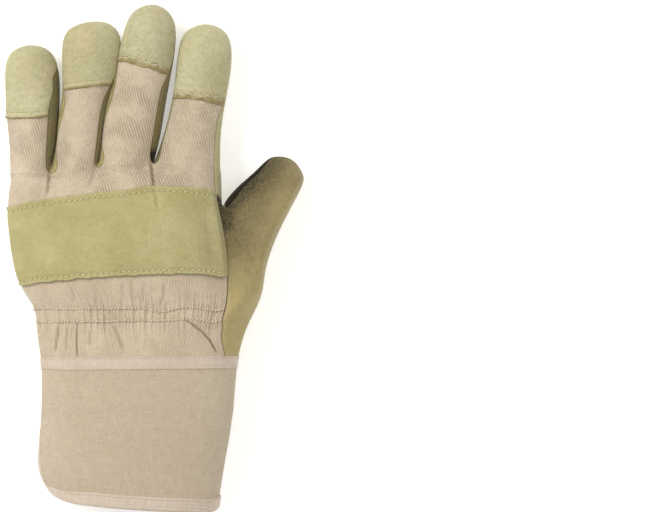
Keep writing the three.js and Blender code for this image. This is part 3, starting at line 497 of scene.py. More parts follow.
def finger_slide(name, column, row):
    """Seams of a finger move outwards above the hem, the side walls taper below the tip, and all seams come
    back where the tip closes."""
    hem, tip = FINGERS[name]["hem"], 1 - smoothstep(row, 4.2, 5)
    above = 0.75 * smoothstep(row, hem - 0.6, hem + 0.6)
    tucked = 0.45 * smoothstep(row, 0.4 * (WEB_SHOWN[name] > 0), 1.1) * (1 - smoothstep(row, 1.2, 2.2))
    web = WEB_SHOWN[name] * smoothstep(row, 0, 0.15) * (1 - smoothstep(row, 0.3, 0.8))
    end = above + 0.15 * smoothstep(row, 3.2, 4)
    start = end + tucked - web
    if name == "little":
        start, end = 0.7, 0.3 * smoothstep(row, 2, 3) + 0.6 * smoothstep(row, 3.4, 4)
    under = 0.9 * smoothstep(row, 2.6, 4)
    moved = end * hat(column - 3) - start * hat(column - 1) - under * hat(column - 5) + under * hat(column - 7)
    return column + tip * moved, row


def hand_slide(_, column, row):
    """The hand's outer seam moves round to the outline, under the edge of the cloth and the strap."""
    return column - 0.7 * hat(column - 1), row


def thumb_slide(_, column, row):
    """The thumb's inner seam moves onto its back, so that a strip of palm leather shows beside it."""
    around = (column + 6) % 12 - 6
    reach = 0.8 * smoothstep(row, 0, 0.8) * (1 - smoothstep(row, 3.4, 4.8))
    return (column + reach * hat(around / 2)) % 12, row


def slide(surface, region, move):
    """The region's points, their new places on the skin and their new normals."""
    mine = ringed(surface, region)
    used, first = np.unique(surface.faces[mine].ravel(), return_index=True)
    column, row = surface.uv[mine].reshape(-1, 2)[first].T
    return used, *look_up(surface, region)(*move(region, column, row))


ways = {"hand": hand_slide, "thumb": thumb_slide, **dict.fromkeys(FINGERS, finger_slide)}
moves = [slide(skin, region, way) for region, way in ways.items()]
for used, places, normals in moves:
    skin.points[used], skin.normals[used] = places, normals

hand_at = look_up(skin, "hand")
cuff_at = look_up(cuff_skin, "cuff")
finger_at = {name: look_up(skin, name) for name in FINGERS}
vertex_uv = to_points(skin.faces, skin.uv, len(skin.points))

# %% [markdown]
# Leather and cloth are never quite smooth: broad lumps, creases where the hand bends, and valleys where a
# seam or a row of stitches pulls the surface in. All of them are heights added along the normal.

# %% Noise, distances and creases
LATTICE = rng.uniform(-1, 1, (24, 24, 24))


def lumps(points, size, octaves=2):
    """Smooth noise from -1 to 1: random values on a lattice of the given size, mixed with a smooth step."""
    total = 0
    for k in range(octaves):
        place = points * (2 ** k / size) + 7.3 * k
        base = np.floor(place).astype(int)
        t = place - base
        t = t * t * (3 - 2 * t)
        value = 0
        for corner in np.ndindex(2, 2, 2):
            i = (base + corner) % 24
            weight = np.prod(np.where(np.array(corner) == 1, t, 1 - t), -1)
            value = value + weight * LATTICE[i[..., 0], i[..., 1], i[..., 2]]
        total = total + value / 2 ** k
    return total / 1.5


def distance_to(points, others, block=4000):
    """Distance from each point to the nearest of the others, worked out in blocks."""
    squares = (others ** 2).sum(1)
    parts = []
    for first in range(0, len(points), block):
        p = points[first:first + block]
        parts.append(((p ** 2).sum(1)[:, None] - 2 * p @ others.T + squares).min(1))
    return np.sqrt(np.maximum(np.concatenate(parts), 0))


def beside_line(points, line):
    """Seen from above: the distance from each point to each straight piece of a line, how far along the piece
    the nearest place is (0 to 1), and the lengths of the pieces."""
    line = np.array(line, float)
    a, along = line[:-1], np.diff(line, axis=0)
    lengths = np.linalg.norm(along, axis=1)
    p = points[..., None, :2] - a
    t = np.clip((p * along).sum(-1) / lengths ** 2, 0, 1)
    return np.linalg.norm(p - t[..., None] * along, axis=-1), t, lengths


def crease(points, line, depth, width):
    """A valley along a line seen from above: exp(-(distance / width)^2), with a low lip at each side,
    fading out towards both ends of the line."""
    gap, t, lengths = beside_line(points, line)
    start = np.concatenate([[0], np.cumsum(lengths)[:-1]])
    nearest = gap.argmin(-1)
    d, share = (np.take_along_axis(values, nearest[..., None], -1)[..., 0] for values in (gap, t))
    s = (start[nearest] + share * lengths[nearest]) / lengths.sum()
    fade = np.clip(np.minimum(s, 1 - s) * 5 + 0.15, 0, 1)
    return fade * depth * (0.35 * np.exp(-(d / (2.4 * width)) ** 2) - 1.2 * np.exp(-(d / width) ** 2))

# %% Creases of the real glove, in millimetres seen from above
BACK_CREASES = [
    ([(-55.6, 46.5), (-56.4, 38.0), (-57.6, 27.0)], 1.5, 1.0),
    ([(-1.8, 52.0), (0.3, 36.0), (1.6, 26.0)], 2.3, 1.0),
    ([(-30.6, 50.5), (-32.5, 42.0), (-34.8, 36.0)], 0.8, 1.5),
    ([(-12.0, 56.0), (-16.0, 50.0), (-23.0, 46.0)], 0.25, 2.0),
    ([(12.0, 58.0), (18.0, 52.0), (27.0, 50.0)], 0.25, 2.2),
    ([(-72.0, 62.0), (-65.0, 60.0), (-57.0, 62.0)], 0.3, 1.8),
    ([(-46.0, 66.0), (-40.0, 64.0), (-33.0, 67.0)], 0.2, 2.0),
]
THUMB_CREASES = [
    ([(46.5, 6.0), (47.5, -1.0), (51.0, -6.0)], 0.6, 1.2),
    ([(49.0, -6.5), (52.5, -10.5), (56.5, -14.5)], 0.6, 1.3),
    ([(43.8, 9.0), (44.6, 2.0), (47.0, -4.0)], 0.9, 1.1),
    ([(50.0, 8.0), (51.5, 0.0), (56.0, -8.0)], 0.4, 1.4),
    ([(41.0, 19.0), (45.0, 17.0), (50.0, 17.5)], 0.6, 1.1),
    ([(39.5, 15.0), (43.0, 13.0), (48.0, 13.5)], 0.5, 1.1),
    ([(42.0, 24.0), (48.0, 20.0), (56.0, 18.0)], 0.35, 1.8),
    ([(52.0, 30.0), (58.0, 27.0), (66.0, 27.0)], 0.3, 1.6),
    ([(48.0, -14.0), (52.0, -20.0), (56.0, -23.0)], 0.5, 1.6),
]
PALM_CREASES = [
    ([(-25.0, 38.0), (-10.0, 26.0), (0.0, 12.0), (3.0, -8.0)], 0.9, 2.2),
    ([(30.0, 30.0), (16.0, 24.0), (4.0, 8.0), (-2.0, -14.0)], 1.0, 2.4),
    ([(-70.0, 30.0), (-50.0, 27.0), (-30.0, 30.0)], 0.5, 2.6),
    ([(34.0, 18.0), (42.0, 12.0), (50.0, 12.0)], 0.8, 2.0),
    ([(30.0, 10.0), (40.0, 4.0), (50.0, 2.0)], 0.6, 2.2),
]


def all_creases(points, lines):
    return sum(crease(points, line, depth, width) for line, depth, width in lines)


def crease_shade(points, lines):
    """Painted shade in the bottom of a fold, from 0 to 1."""
    return 0.32 * np.clip(-all_creases(points, lines) / 1.6, 0, 1)


print("creases:", len(BACK_CREASES) + len(THUMB_CREASES) + len(PALM_CREASES))

# %% [markdown]
# Materials come next, because every piece is given one as it is made. Effects that several finishes share
# are node groups: soft blotches, the grain of pig leather, woven cloth and the shade along a seam. Each puts
# out a mask or a height only. The shader itself stays in the material.

# %% Short ways to write nodes
def srgb(r, g, b):
    """Screen colour from 0 to 255 as the linear colour that a shader wants."""
    c = np.array([r, g, b]) / 255
    return (*np.where(c <= 0.04045, c / 12.92, ((c + 0.055) / 1.055) ** 2.4).tolist(), 1.0)


def feed(tree, sockets, values):
    """Links each value that is a socket, and sets each one that is a number, a vector or a colour."""
    for key, value in values.items():
        if isinstance(value, bpy.types.NodeSocket):
            tree.links.new(value, sockets[key])
        else:
            sockets[key].default_value = value


def node(tree, kind, inputs=None, **settings):
    made = tree.nodes.new(kind)
    for key, value in settings.items():
        setattr(made, key, value)
    feed(tree, made.inputs, inputs or {})
    return made


def calc(tree, operation, *values):
    return node(tree, "ShaderNodeMath", dict(enumerate(values)), operation=operation).outputs[0]


def times(tree, first, second):
    return calc(tree, "MULTIPLY", first, second)


def noise(tree, place, scale, detail, roughness=0.5):
    """Soft noise from 0 to 1; a higher scale is a finer pattern, more detail a rougher one."""
    return node(tree, "ShaderNodeTexNoise",
                {"Vector": place, "Scale": scale, "Detail": detail, "Roughness": roughness}).outputs[0]


def blend(tree, amount, first, second):
    return node(tree, "ShaderNodeMix", {0: amount, 6: first, 7: second}, data_type="RGBA").outputs[2]


def layered(tree, tone, *layers):
    """Lays one colour after another over the tone, each through its own mask."""
    for mask, colour in layers:
        tone = blend(tree, mask, tone, colour)
    return tone


def remap(tree, value, low, high, new_low=0.0, new_high=1.0):
    return node(tree, "ShaderNodeMapRange", {0: value, 1: low, 2: high, 3: new_low, 4: new_high},
                interpolation_type="SMOOTHSTEP").outputs[0]


def new_group(name, inputs, outputs):
    """A group: an input is one number, or a vector where its value is None or three numbers; every output is
    one number that changes over the surface."""
    tree = bpy.data.node_groups.new(name, "ShaderNodeTree")
    for label, value in inputs.items():
        kind = "NodeSocketFloat" if isinstance(value, float) else "NodeSocketVector"
        socket = tree.interface.new_socket(name=label, in_out="INPUT", socket_type=kind)
        if value is not None:
            socket.default_value = value
    for label in outputs:
        tree.interface.new_socket(name=label, in_out="OUTPUT", socket_type="NodeSocketFloat")
    return tree, tree.nodes.new("NodeGroupInput").outputs, tree.nodes.new("NodeGroupOutput").inputs


def use(tree, group, **inputs):
    made = tree.nodes.new("ShaderNodeGroup")
    made.node_tree = group
    feed(tree, made.inputs, {label.replace("_", " "): value for label, value in inputs.items()})
    return made.outputs

# %% Shared effect: blotches, broad and fine
tree, given, gives = new_group("Blotches", {"Vector": None, "Broad": 25.0, "Fine": 160.0},
                               ["Broad mask", "Fine mask"])
broad = noise(tree, given["Vector"], given["Broad"], 3.0, 0.55)
fine = noise(tree, given["Vector"], given["Fine"], 4.0, 0.6)
feed(tree, gives, {"Broad mask": remap(tree, broad, 0.3, 0.7), "Fine mask": remap(tree, fine, 0.25, 0.75)})
blotch_group = tree

# %% Shared effect: pig grain, hair pores in loose groups over a fine pebble
tree, given, gives = new_group("Pig grain", {"Vector": None, "Spacing": 520.0, "Pebble": 1500.0},
                               ["Pores", "Height"])
cells = node(tree, "ShaderNodeTexVoronoi", {"Vector": given["Vector"], "Scale": given["Spacing"], "Randomness": 0.9})
dots = remap(tree, cells.outputs["Distance"], 0.08, 0.22, 1.0, 0.0)
pores = times(tree, dots, remap(tree, noise(tree, given["Vector"], 130.0, 1.0), 0.48, 0.64))
pebble = node(tree, "ShaderNodeTexVoronoi", {"Vector": given["Vector"], "Scale": given["Pebble"]},
              feature="SMOOTH_F1").outputs["Distance"]
soft = noise(tree, given["Vector"], 420.0, 5.0, 0.65)
height = calc(tree, "ADD", times(tree, pebble, 0.35), times(tree, soft, 0.9))
feed(tree, gives, {"Pores": pores, "Height": calc(tree, "SUBTRACT", height, times(tree, pores, 0.6))})
grain_group = tree

# %% Shared effect: shade along a seam, from the distance that each vertex carries
tree, given, gives = new_group("Seam shade", {"Distance": 10.0, "Width": 1.6, "Vector": None}, ["Dark", "Rubbed"])
ragged = noise(tree, given["Vector"], 300.0, 3.0)
away = calc(tree, "DIVIDE", given["Distance"], given["Width"])
dark = remap(tree, calc(tree, "ADD", away, times(tree, ragged, 0.5)), 0.35, 1.3, 1.0, 0.0)
rub = times(tree, remap(tree, away, 0.5, 1.3), remap(tree, away, 1.4, 3.2, 1.0, 0.0))
feed(tree, gives, {"Dark": dark, "Rubbed": times(tree, rub, remap(tree, ragged, 0.35, 0.7))})
seam_group = tree

# %% Shared effect: cloth woven from ribs or crossing yarns, on a flat map in millimetres
TURN = 2 * np.pi
tree, given, gives = new_group(
    "Woven cloth", {"Map": None, "Rib direction": (0.93, 0.37, 0.0), "Rib pitch": 1.6, "Yarn pitch": 0.55},
    ["Ribs", "Yarns", "Slubs"])
wander = times(tree, noise(tree, given["Map"], 0.16, 3.0), 1.1)
reach = node(tree, "ShaderNodeVectorMath", {0: given["Map"], 1: given["Rib direction"]}, operation="DOT_PRODUCT")
phase = calc(tree, "ADD", calc(tree, "DIVIDE", reach.outputs["Value"], given["Rib pitch"]), wander)
rib = calc(tree, "SINE", times(tree, phase, TURN))
flat = node(tree, "ShaderNodeSeparateXYZ", {0: given["Map"]}).outputs
yarns = [calc(tree, "SINE", times(tree, calc(tree, "DIVIDE", flat[k], given["Yarn pitch"]), TURN)) for k in (0, 1)]
stretched = [node(tree, "ShaderNodeVectorMath", {0: given["Map"], 1: stretch}, operation="MULTIPLY").outputs[0]
             for stretch in ((0.25, 2.2, 1.0), (2.2, 0.25, 1.0))]
slubs = [noise(tree, place, 0.6, 4.0, 0.7) for place in stretched]
feed(tree, gives, {"Ribs": calc(tree, "MULTIPLY_ADD", rib, 0.5, 0.5),
                   "Yarns": calc(tree, "MULTIPLY_ADD", times(tree, *yarns), 0.5, 0.5),
                   "Slubs": times(tree, calc(tree, "ADD", *slubs), 0.5)})
weave_group = tree
print("shared effects:", [g.name for g in bpy.data.node_groups])

# %% Start of every material
def start_material(name, roughness, sheen=0.0, sheen_roughness=0.5, specular=0.3):
    """A material with its plain numbers set, and the two sockets that finishes start from: the place on the
    object and the distance to the nearest seam."""
    material = bpy.data.materials.new(name)
    material.use_nodes = True
    tree = material.node_tree
    shader = tree.nodes["Principled BSDF"]
    feed(tree, shader.inputs, {"Roughness": roughness, "Sheen Weight": sheen, "Sheen Roughness": sheen_roughness,
                               "Specular IOR Level": specular})
    place = tree.nodes.new("ShaderNodeTexCoord").outputs["Object"]
    return material, tree, shader, place, carried(tree, "seam_mm")


def carried(tree, name):
    """A number that each vertex carries."""
    return node(tree, "ShaderNodeAttribute", attribute_name=name).outputs["Fac"]


def finish_material(tree, shader, colour, height, depth, rough=None):
    """Sends the colour, the height through a Bump node and the roughness into the shader."""
    bump = node(tree, "ShaderNodeBump", {"Height": height, "Strength": 1.0, "Distance": depth})
    feed(tree, shader.inputs, {"Base Color": colour, "Normal": bump.outputs[0]})
    if rough is not None:
        tree.links.new(rough, shader.inputs["Roughness"])

# %% Leather finishes
# The third colour is the dark brown that painted shade on leather blends towards.
RUBBED, PORE, PAINTED_SHADE_BROWN = srgb(222, 216, 176), srgb(120, 108, 66), srgb(32, 20, 7)


def leather(name, light, deep, blush, seam_dark, pore_dark=0.22, bump=0.0003, seam_width=0.8,
            broad_size=22.0, nap=0.12):
    """Pale tanned pig leather: two tones in blotches, a pink blush, pores, rubbed edges, dark seams, a nap of
    fibres, and the painted shade that the piece carries, a blend towards dark brown."""
    material, tree, shader, place, distance = start_material(name, 0.74, sheen=0.12, specular=0.22)
    spots = use(tree, blotch_group, Vector=place, Broad=broad_size, Fine=210.0)
    grain = use(tree, grain_group, Vector=place)
    seams = use(tree, seam_group, Distance=distance, Width=seam_width, Vector=place)
    patch, speckle = noise(tree, place, 48.0, 2.0), noise(tree, place, 900.0, 2.0)
    fibres = noise(tree, place, 430.0, 6.0, 0.75)
    # The last layer is painted shade: the shade that each vertex carries darkens the tone towards dark brown.
    tone = layered(
        tree, blend(tree, spots["Broad mask"], light, deep),
        (remap(tree, patch, 0.55, 0.75, 0.0, 0.55), blush),
        (times(tree, spots["Fine mask"], 0.3), deep),
        (times(tree, seams["Rubbed"], 0.22), RUBBED),
        (times(tree, grain["Pores"], pore_dark), PORE),
        (times(tree, seams["Dark"], 0.22), seam_dark),
        (remap(tree, speckle, 0.35, 0.65, 0.16, 0.0), deep),
        (remap(tree, fibres, 0.38, 0.56, nap, 0.0), seam_dark),
        (times(tree, carried(tree, "shade"), remap(tree, speckle, 0.3, 0.7, 0.84, 1.0)), PAINTED_SHADE_BROWN))
    height = calc(tree, "MULTIPLY_ADD", fibres, 6 * nap, grain["Height"])
    finish_material(tree, shader, tone, height, bump, remap(tree, spots["Fine mask"], 0.0, 1.0, 0.66, 0.84))
    return material


PALE, OLIVE, BLUSH, SEAM_DARK = srgb(193, 187, 147), srgb(181, 174, 128), srgb(195, 177, 143), srgb(112, 98, 58)
grain_leather = leather("pale pig-grain leather", PALE, OLIVE, BLUSH, SEAM_DARK)
cap_leather = leather("fingertip leather", srgb(204, 197, 158), srgb(185, 177, 134), srgb(207, 188, 153), SEAM_DARK,
                      pore_dark=0.42, bump=0.0004, nap=0.2)
# The gusset leather is darker than the caps as painted shade between the fingers.
gusset_leather = leather("gusset leather", srgb(183, 171, 118), srgb(160, 148, 94), srgb(177, 158, 112),
                         srgb(92, 80, 40), nap=0.2)
thumb_leather = leather("thumb leather", srgb(201, 185, 131), srgb(186, 168, 114), srgb(192, 167, 123),
                        srgb(112, 98, 62), nap=0.16)
strap_leather = leather("knuckle strap leather", srgb(192, 183, 134), srgb(172, 163, 110), srgb(184, 169, 125),
                        srgb(142, 132, 86), pore_dark=0.08, seam_width=0.6, bump=0.0004, broad_size=40.0, nap=0.2)
# The turned hem is darker than the caps: partly the raw edge of the leather, partly painted shade under the rolled
# edge.
hem_leather = leather("turned hem leather", srgb(176, 163, 118), srgb(142, 127, 84), srgb(160, 140, 100),
                      srgb(96, 82, 46), pore_dark=0.4, broad_size=260.0)
print("leather finishes:", sum("leather" in m.name for m in bpy.data.materials))

# %% Cloth finishes
FLECK, SEAM_SHADE, FOLD_SHADE = srgb(128, 96, 66), srgb(140, 118, 88), srgb(112, 90, 62)


def cloth(name, light, deep, blush, ribs, yarns, depth, flecks=0.0, rib_pitch=1.45, yarn_pitch=0.55,
          rib_direction=(0.96, 0.28, 0.0), seam_width=0.8):
    """Unbleached cotton: ribs or crossing yarns, uneven yarns, soft blotches, a few dark flecks."""
    material, tree, shader, place, distance = start_material(name, 0.93, sheen=0.25, sheen_roughness=0.6, specular=0.12)
    flat_map = node(tree, "ShaderNodeUVMap", uv_map="flat_mm").outputs[0]
    weave = use(tree, weave_group, Map=flat_map, Rib_pitch=rib_pitch, Yarn_pitch=yarn_pitch,
                Rib_direction=rib_direction)
    spots = use(tree, blotch_group, Vector=place, Broad=30.0, Fine=260.0)
    seams = use(tree, seam_group, Distance=distance, Width=seam_width, Vector=place)
    shown = remap(tree, noise(tree, place, 55.0, 3.0), 0.36, 0.62, 0.3, 1.0)
    ribs_seen = times(tree, weave["Ribs"], shown)
    fuzz = noise(tree, place, 1000.0, 2.0)
    tone = layered(
        tree, blend(tree, times(tree, spots["Broad mask"], 0.5), light, blush),
        (times(tree, calc(tree, "SUBTRACT", shown, ribs_seen), ribs), deep),
        (times(tree, weave["Yarns"], yarns * 0.6), deep),
        (remap(tree, weave["Slubs"], 0.35, 0.7, 0.35, 0.0), deep),
        (times(tree, spots["Fine mask"], 0.2), deep),
        (remap(tree, fuzz, 0.35, 0.65, 0.22, 0.0), deep))
    if flecks:
        specks = node(tree, "ShaderNodeTexVoronoi", {"Vector": flat_map, "Scale": 0.22, "Randomness": 1.0})
        tone = blend(tree, remap(tree, specks.outputs["Distance"], 0.03, 0.09, flecks, 0.0), tone, FLECK)
    # The last layer is painted shade in the folds, from the shade that each vertex carries.
    tone = layered(tree, tone, (times(tree, seams["Dark"], 0.25), SEAM_SHADE), (carried(tree, "shade"), FOLD_SHADE))
    height = calc(tree, "ADD", times(tree, ribs_seen, ribs), times(tree, weave["Yarns"], yarns))
    finish_material(tree, shader, tone, calc(tree, "ADD", height, times(tree, weave["Slubs"], 0.8)), depth)
    return material


cotton_twill = cloth("cotton twill", srgb(240, 225, 198), srgb(168, 147, 116), srgb(237, 216, 190), 0.75, 0.2, 0.0006)
wrist_twill = cloth("gathered twill", srgb(234, 219, 192), srgb(170, 149, 119), srgb(230, 209, 183), 0.45, 0.25, 0.0005)
cuff_canvas = cloth("cuff canvas", srgb(252, 237, 207), srgb(188, 165, 132), srgb(249, 226, 197), 0.0, 0.75, 0.0008,
                    flecks=0.75, yarn_pitch=1.15)
cotton_tape = cloth("cotton tape", srgb(232, 217, 199), srgb(184, 164, 142), srgb(229, 208, 191), 0.35, 0.3, 0.0003,
                    rib_pitch=0.9, rib_direction=(1.0, 0.0, 0.0))
print("cloth finishes:", [m.name for m in (cotton_twill, wrist_twill, cuff_canvas, cotton_tape)])

# %% Sewing thread
def thread(name, light, deep):
    """Twisted cotton thread: a slanting ripple of two tones."""
    material, tree, shader, place, _ = start_material(name, 0.8, sheen=0.2, specular=0.25)
    twist = node(tree, "ShaderNodeTexWave", {"Vector": place, "Scale": 700.0, "Distortion": 2.0},
                 bands_direction="DIAGONAL").outputs["Fac"]
    finish_material(tree, shader, blend(tree, twist, deep, light), twist, 0.0001)
    return material


pale_thread = thread("pale thread", srgb(222, 215, 170), srgb(190, 180, 130))
cream_thread = thread("cream thread", srgb(232, 218, 196), srgb(202, 182, 156))
olive_thread = thread("olive thread", srgb(196, 188, 140), srgb(150, 138, 92))
needle_dark = thread("needle hole", srgb(118, 102, 62), srgb(84, 70, 40))

# %% [markdown]
# Two helpers make all pieces. One turns arrays into a mesh object, rides it on the body and hides the CAD
# node it stands for. The other gives a set of quads a thickness: an outer skin, an inner skin and a rim,
# because leather and cloth have two sides and the glove is open at the cuff.

# %% Arrays to a glove piece
pieces_made = []


def linked(name, data):
    """A new object in the scene for a mesh, a lamp or a camera."""
    made = bpy.data.objects.new(name, data)
    bpy.context.scene.collection.objects.link(made)
    return made


def make_piece(name, points, faces, material, slot, replaced=(), seam=None, uv=None, shade=None):
    """faces is a list of index arrays; uv has a row for each corner of each face, in the same order."""
    mesh = bpy.data.meshes.new(name)
    mesh.from_pydata((np.asarray(points) * MM).tolist(), [], [f for block in faces for f in block.tolist()])
    flat_map = mesh.uv_layers.new(name="flat_mm")
    if uv is not None:
        flat_map.data.foreach_set("uv", np.asarray(uv, np.float32).ravel())
    for label, values in (("seam_mm", seam), ("shade", shade)):
        if values is not None:
            mesh.attributes.new(label, "FLOAT", "POINT").data.foreach_set("value", np.asarray(values, np.float32))
    mesh.shade_smooth()
    mesh.materials.append(material)
    obj = linked(name, mesh)
    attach(obj, "root")
    if replaced:
        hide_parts(*replaced)
    triangles = sum(len(block) * (block.shape[1] - 2) for block in faces)
    pieces_made.append((name, triangles))
    print(f"{name}: {triangles} triangles")


def border_of(faces):
    """The border's sides in order round the quads: the two ends of each side that no other quad shares."""
    a, b = faces.ravel(), np.roll(faces, -1, 1).ravel()
    size = faces.max() + 1
    alone = ~np.isin(a * size + b, b * size + a)
    return a[alone], b[alone]


def walled(points, normals, faces, thickness, gap=SEAM_GAP):
    """Outer skin, inner skin along the negative normal and a rim; the border stays back by the gap."""
    a, b = border_of(faces)
    inward = unit(np.cross(normals[a] + normals[b], points[b] - points[a]))
    pull = unit(pour(np.stack([a, b]), np.stack([inward, inward]), len(points)))
    outer = points + pull * gap
    inner = outer - normals * thickness
    inner[:, 2] = np.maximum(inner[:, 2], 0.05)
    n = len(points)
    return np.vstack([outer, inner]), [faces, faces[:, ::-1] + n, np.stack([b, a, a + n, b + n], 1)]

# %% [markdown]
# The sewn panels are cut from the skin. Towards its border each panel rolls down into the seam, as a
# seam that is sewn inside out and turned does, and the leather between the seams keeps its soft lumps.

# %% Lengths, maps and noise along a surface
def lengths_along(points, axis=0):
    """Length on the surface from the first point to every point along an axis."""
    first = np.take(points, [0], axis)
    return np.cumsum(np.linalg.norm(np.diff(points, axis=axis, prepend=first), axis=-1), axis)


def wall_map(faces, corners, blocks, count):
    """The flat map of a wall: its outer skin's own corners, then the same places for inner skin and rim."""
    places = to_points(faces, corners, count)
    places[count // 2:] = places[:count // 2]
    return np.vstack([corners.reshape(-1, 2), *(places[block.ravel()] for block in blocks[1:])])


def on_line(along, y=0.0, z=0.0):
    """Places on a straight line, for noise that changes along a seam only."""
    return np.stack([along, 0 * along + y, 0 * along + z], -1)

# %% Cutting a panel from the skin
SEAM_ROLL, SEAM_ROLL_WIDTH = 0.4, 1.2


def seam_roll(distance, depth=SEAM_ROLL, width=SEAM_ROLL_WIDTH):
    """Depth of the turned edge: -depth (1 - d/width)^2 within the width, and nothing further in."""
    return -depth * np.clip(1 - distance / width, 0, 1) ** 2


def cut(name, levels=0):
    """One panel of the skin as a skin of its own, refined further where it has fine folds. Each of its
    points knows its column and row (place) and its region (home)."""
    chosen = skin.panel == PANELS.index(name)
    used, local = np.unique(skin.faces[chosen], return_inverse=True)
    panel = Cage()
    panel.points, panel.normals, panel.faces = skin.points[used], skin.normals[used], local.reshape(-1, 4)
    panel.uv, panel.panel, panel.region = skin.uv[chosen], skin.panel[chosen], skin.region[chosen]
    if levels:
        panel = smooth_skin(panel, levels)
    panel.place = to_points(panel.faces, panel.uv, len(panel.points))
    panel.home = to_points(panel.faces, np.repeat(panel.region[:, None], 4, 1), len(panel.points))
    return panel


def sewn_panel(piece, name, node_name, material, slot, thickness, height, shade=None, levels=0):
    """Cuts the panel out, adds its heights along the normal and gives it a wall."""
    panel = cut(name, levels)
    border = np.unique(border_of(panel.faces)[0])
    d = distance_to(panel.points, panel.points[border])
    shaped = panel.points + panel.normals * height(panel, d, border)[:, None]
    shaped[:, 2] = np.maximum(shaped[:, 2], 0)
    made, blocks = walled(shaped, panel.normals, panel.faces, thickness)
    uv = None
    if name == "finger_backs":
        uv = wall_map(panel.faces, flat_map_of(panel), blocks, len(made))
    shades = None if shade is None else np.tile(shade(panel), 2)
    make_piece(piece, made, blocks, material, slot, (node_name,), np.tile(d, 2), uv, shades)


def leather_height(panel, d, border):
    """Turned edges, broad lumps away from the seams, and the creases of the palm, back and thumb."""
    points, normals = panel.points, panel.normals
    back = smoothstep(normals[:, 2], 0.1, 0.5)
    palm = smoothstep(-normals[:, 2], 0.1, 0.5)
    soft = 0.22 * lumps(points, 15.0) * smoothstep(d, 0.5, 7.0)
    folds = palm * all_creases(points, PALM_CREASES) + back * all_creases(points, THUMB_CREASES)
    return seam_roll(d, 0.3 + 0.4 * palm, 1.2 + 0.7 * palm) + soft + folds * smoothstep(d, 0.0, 2.0)

# %% Painted shade on the thumb, the palm strip beside it and the finger walls
THUMB_CROOK = [(34.0, 14.0), (38.0, 27.0), (48.0, 38.0), (60.0, 47.0)]
THUMB_EDGE = [(36.0, 18.0), (37.0, 26.5), (45.5, 37.5), (52.5, 43.5), (60.0, 50.0), (65.0, 53.0)]
LESS_SHADED_PLACE = (70, 26)


def line_distance(points, line):
    """Distance seen from above to a line of straight pieces."""
    return beside_line(points, line)[0].min(-1)


def thumb_shade(panel):
    """Painted shade: darkest in the crook beside the hand, fading towards the thumb's outer side and its tip,
    and lighter again at one place on the outer side."""
    x, y = panel.points[:, 0], panel.points[:, 1]
    less_shade = 1 - smoothstep(np.hypot(x - LESS_SHADED_PLACE[0], y - LESS_SHADED_PLACE[1]), 3, 15)
    broad = 0.12 + 0.67 * (1 - smoothstep(line_distance(panel.points, THUMB_CROOK), 2, 45))
    broad *= (1 - 0.25 * smoothstep(x, 60, 76)) * (1 - 0.3 * less_shade)
    edge = line_distance(panel.points, THUMB_EDGE) + 1.2 * lumps(panel.points, 4.0, 3)
    near = (1 - smoothstep(edge, 2.5, 9.0 + 3 * smoothstep(y, 20, 34))) * (1 - 0.5 * smoothstep(x, 52, 66))
    return 1 - (1 - broad) * (1 - 0.86 * near)


def crook_shade(panel):
    """Painted shadow on the strip of palm leather that turns up beside the thumb's inner seam."""
    on_thumb = (panel.home == REGIONS.index("thumb")) * smoothstep(panel.points[:, 0], 36.5, 38.5)
    near = 1 - smoothstep(line_distance(panel.points, THUMB_CROOK), 6, 13)
    return 1.25 * on_thumb * near * smoothstep(panel.normals[:, 2], -0.6, 0.0)


DARK_CROTCH = (0.2, 50.5)


def wall_shade(panel):
    """Painted shade: side walls that face right are darker than those that face left, and painted shadow makes
    the wall black at the bottom of the crotch between the middle and the index finger."""
    right = smoothstep(panel.normals[:, 0], -0.3, 0.6)
    low = np.linalg.norm(panel.points[:, :2] - DARK_CROTCH, axis=1)
    return np.maximum(0.5 * right, (0.5 + 0.65 * right) * (1 - smoothstep(low, 3.0, 13.0)))

# %% Palm, fronts, gussets and thumb
def leather_panel(piece, name, node_name, material=grain_leather, shade=None):
    sewn_panel(piece, name, node_name, material, "grain_leather", LEATHER_WALL, leather_height, shade)


leather_panel("palm_panel", "palm", "palm_leather", shade=crook_shade)
leather_panel("finger_front_panel", "fronts", "ring_middle_front")
for gusset in ("little_ring", "ring_middle", "middle_index"):
    leather_panel(gusset + "_gusset", gusset, "fourchette_" + gusset, gusset_leather, wall_shade)
leather_panel("thumb_back_panel", "thumb", "thumb_back", thumb_leather, thumb_shade)

# %% [markdown]
# The backs of the fingers are one piece of twill. Its ribs must follow the cloth, so the piece carries a flat
# map: distance across the finger from its middle line, and distance along it, both in millimetres.

# %% A flat map by measuring along columns and rows
def arc_map(region, first, last, low_row, high_row, middle):
    """Lengths along the skin: u grows from the middle column to each side, v along the middle column."""
    grid, low = index_grid(skin, region)
    c = slice(first * STEP - low[0], last * STEP - low[0] + 1)
    r = slice(low_row * STEP - low[1], high_row * STEP - low[1] + 1)
    p = skin.points[grid[c, r]]
    centre = (middle - first) * STEP
    u, v = lengths_along(p), lengths_along(p[centre])
    u += p[centre, :, 0] - u[centre]
    anchor = -1 if high_row == 0 else 0
    v += p[centre, anchor, 1] - v[anchor]
    return np.stack([u, np.broadcast_to(v, u.shape)], -1), (first * STEP, low_row * STEP)


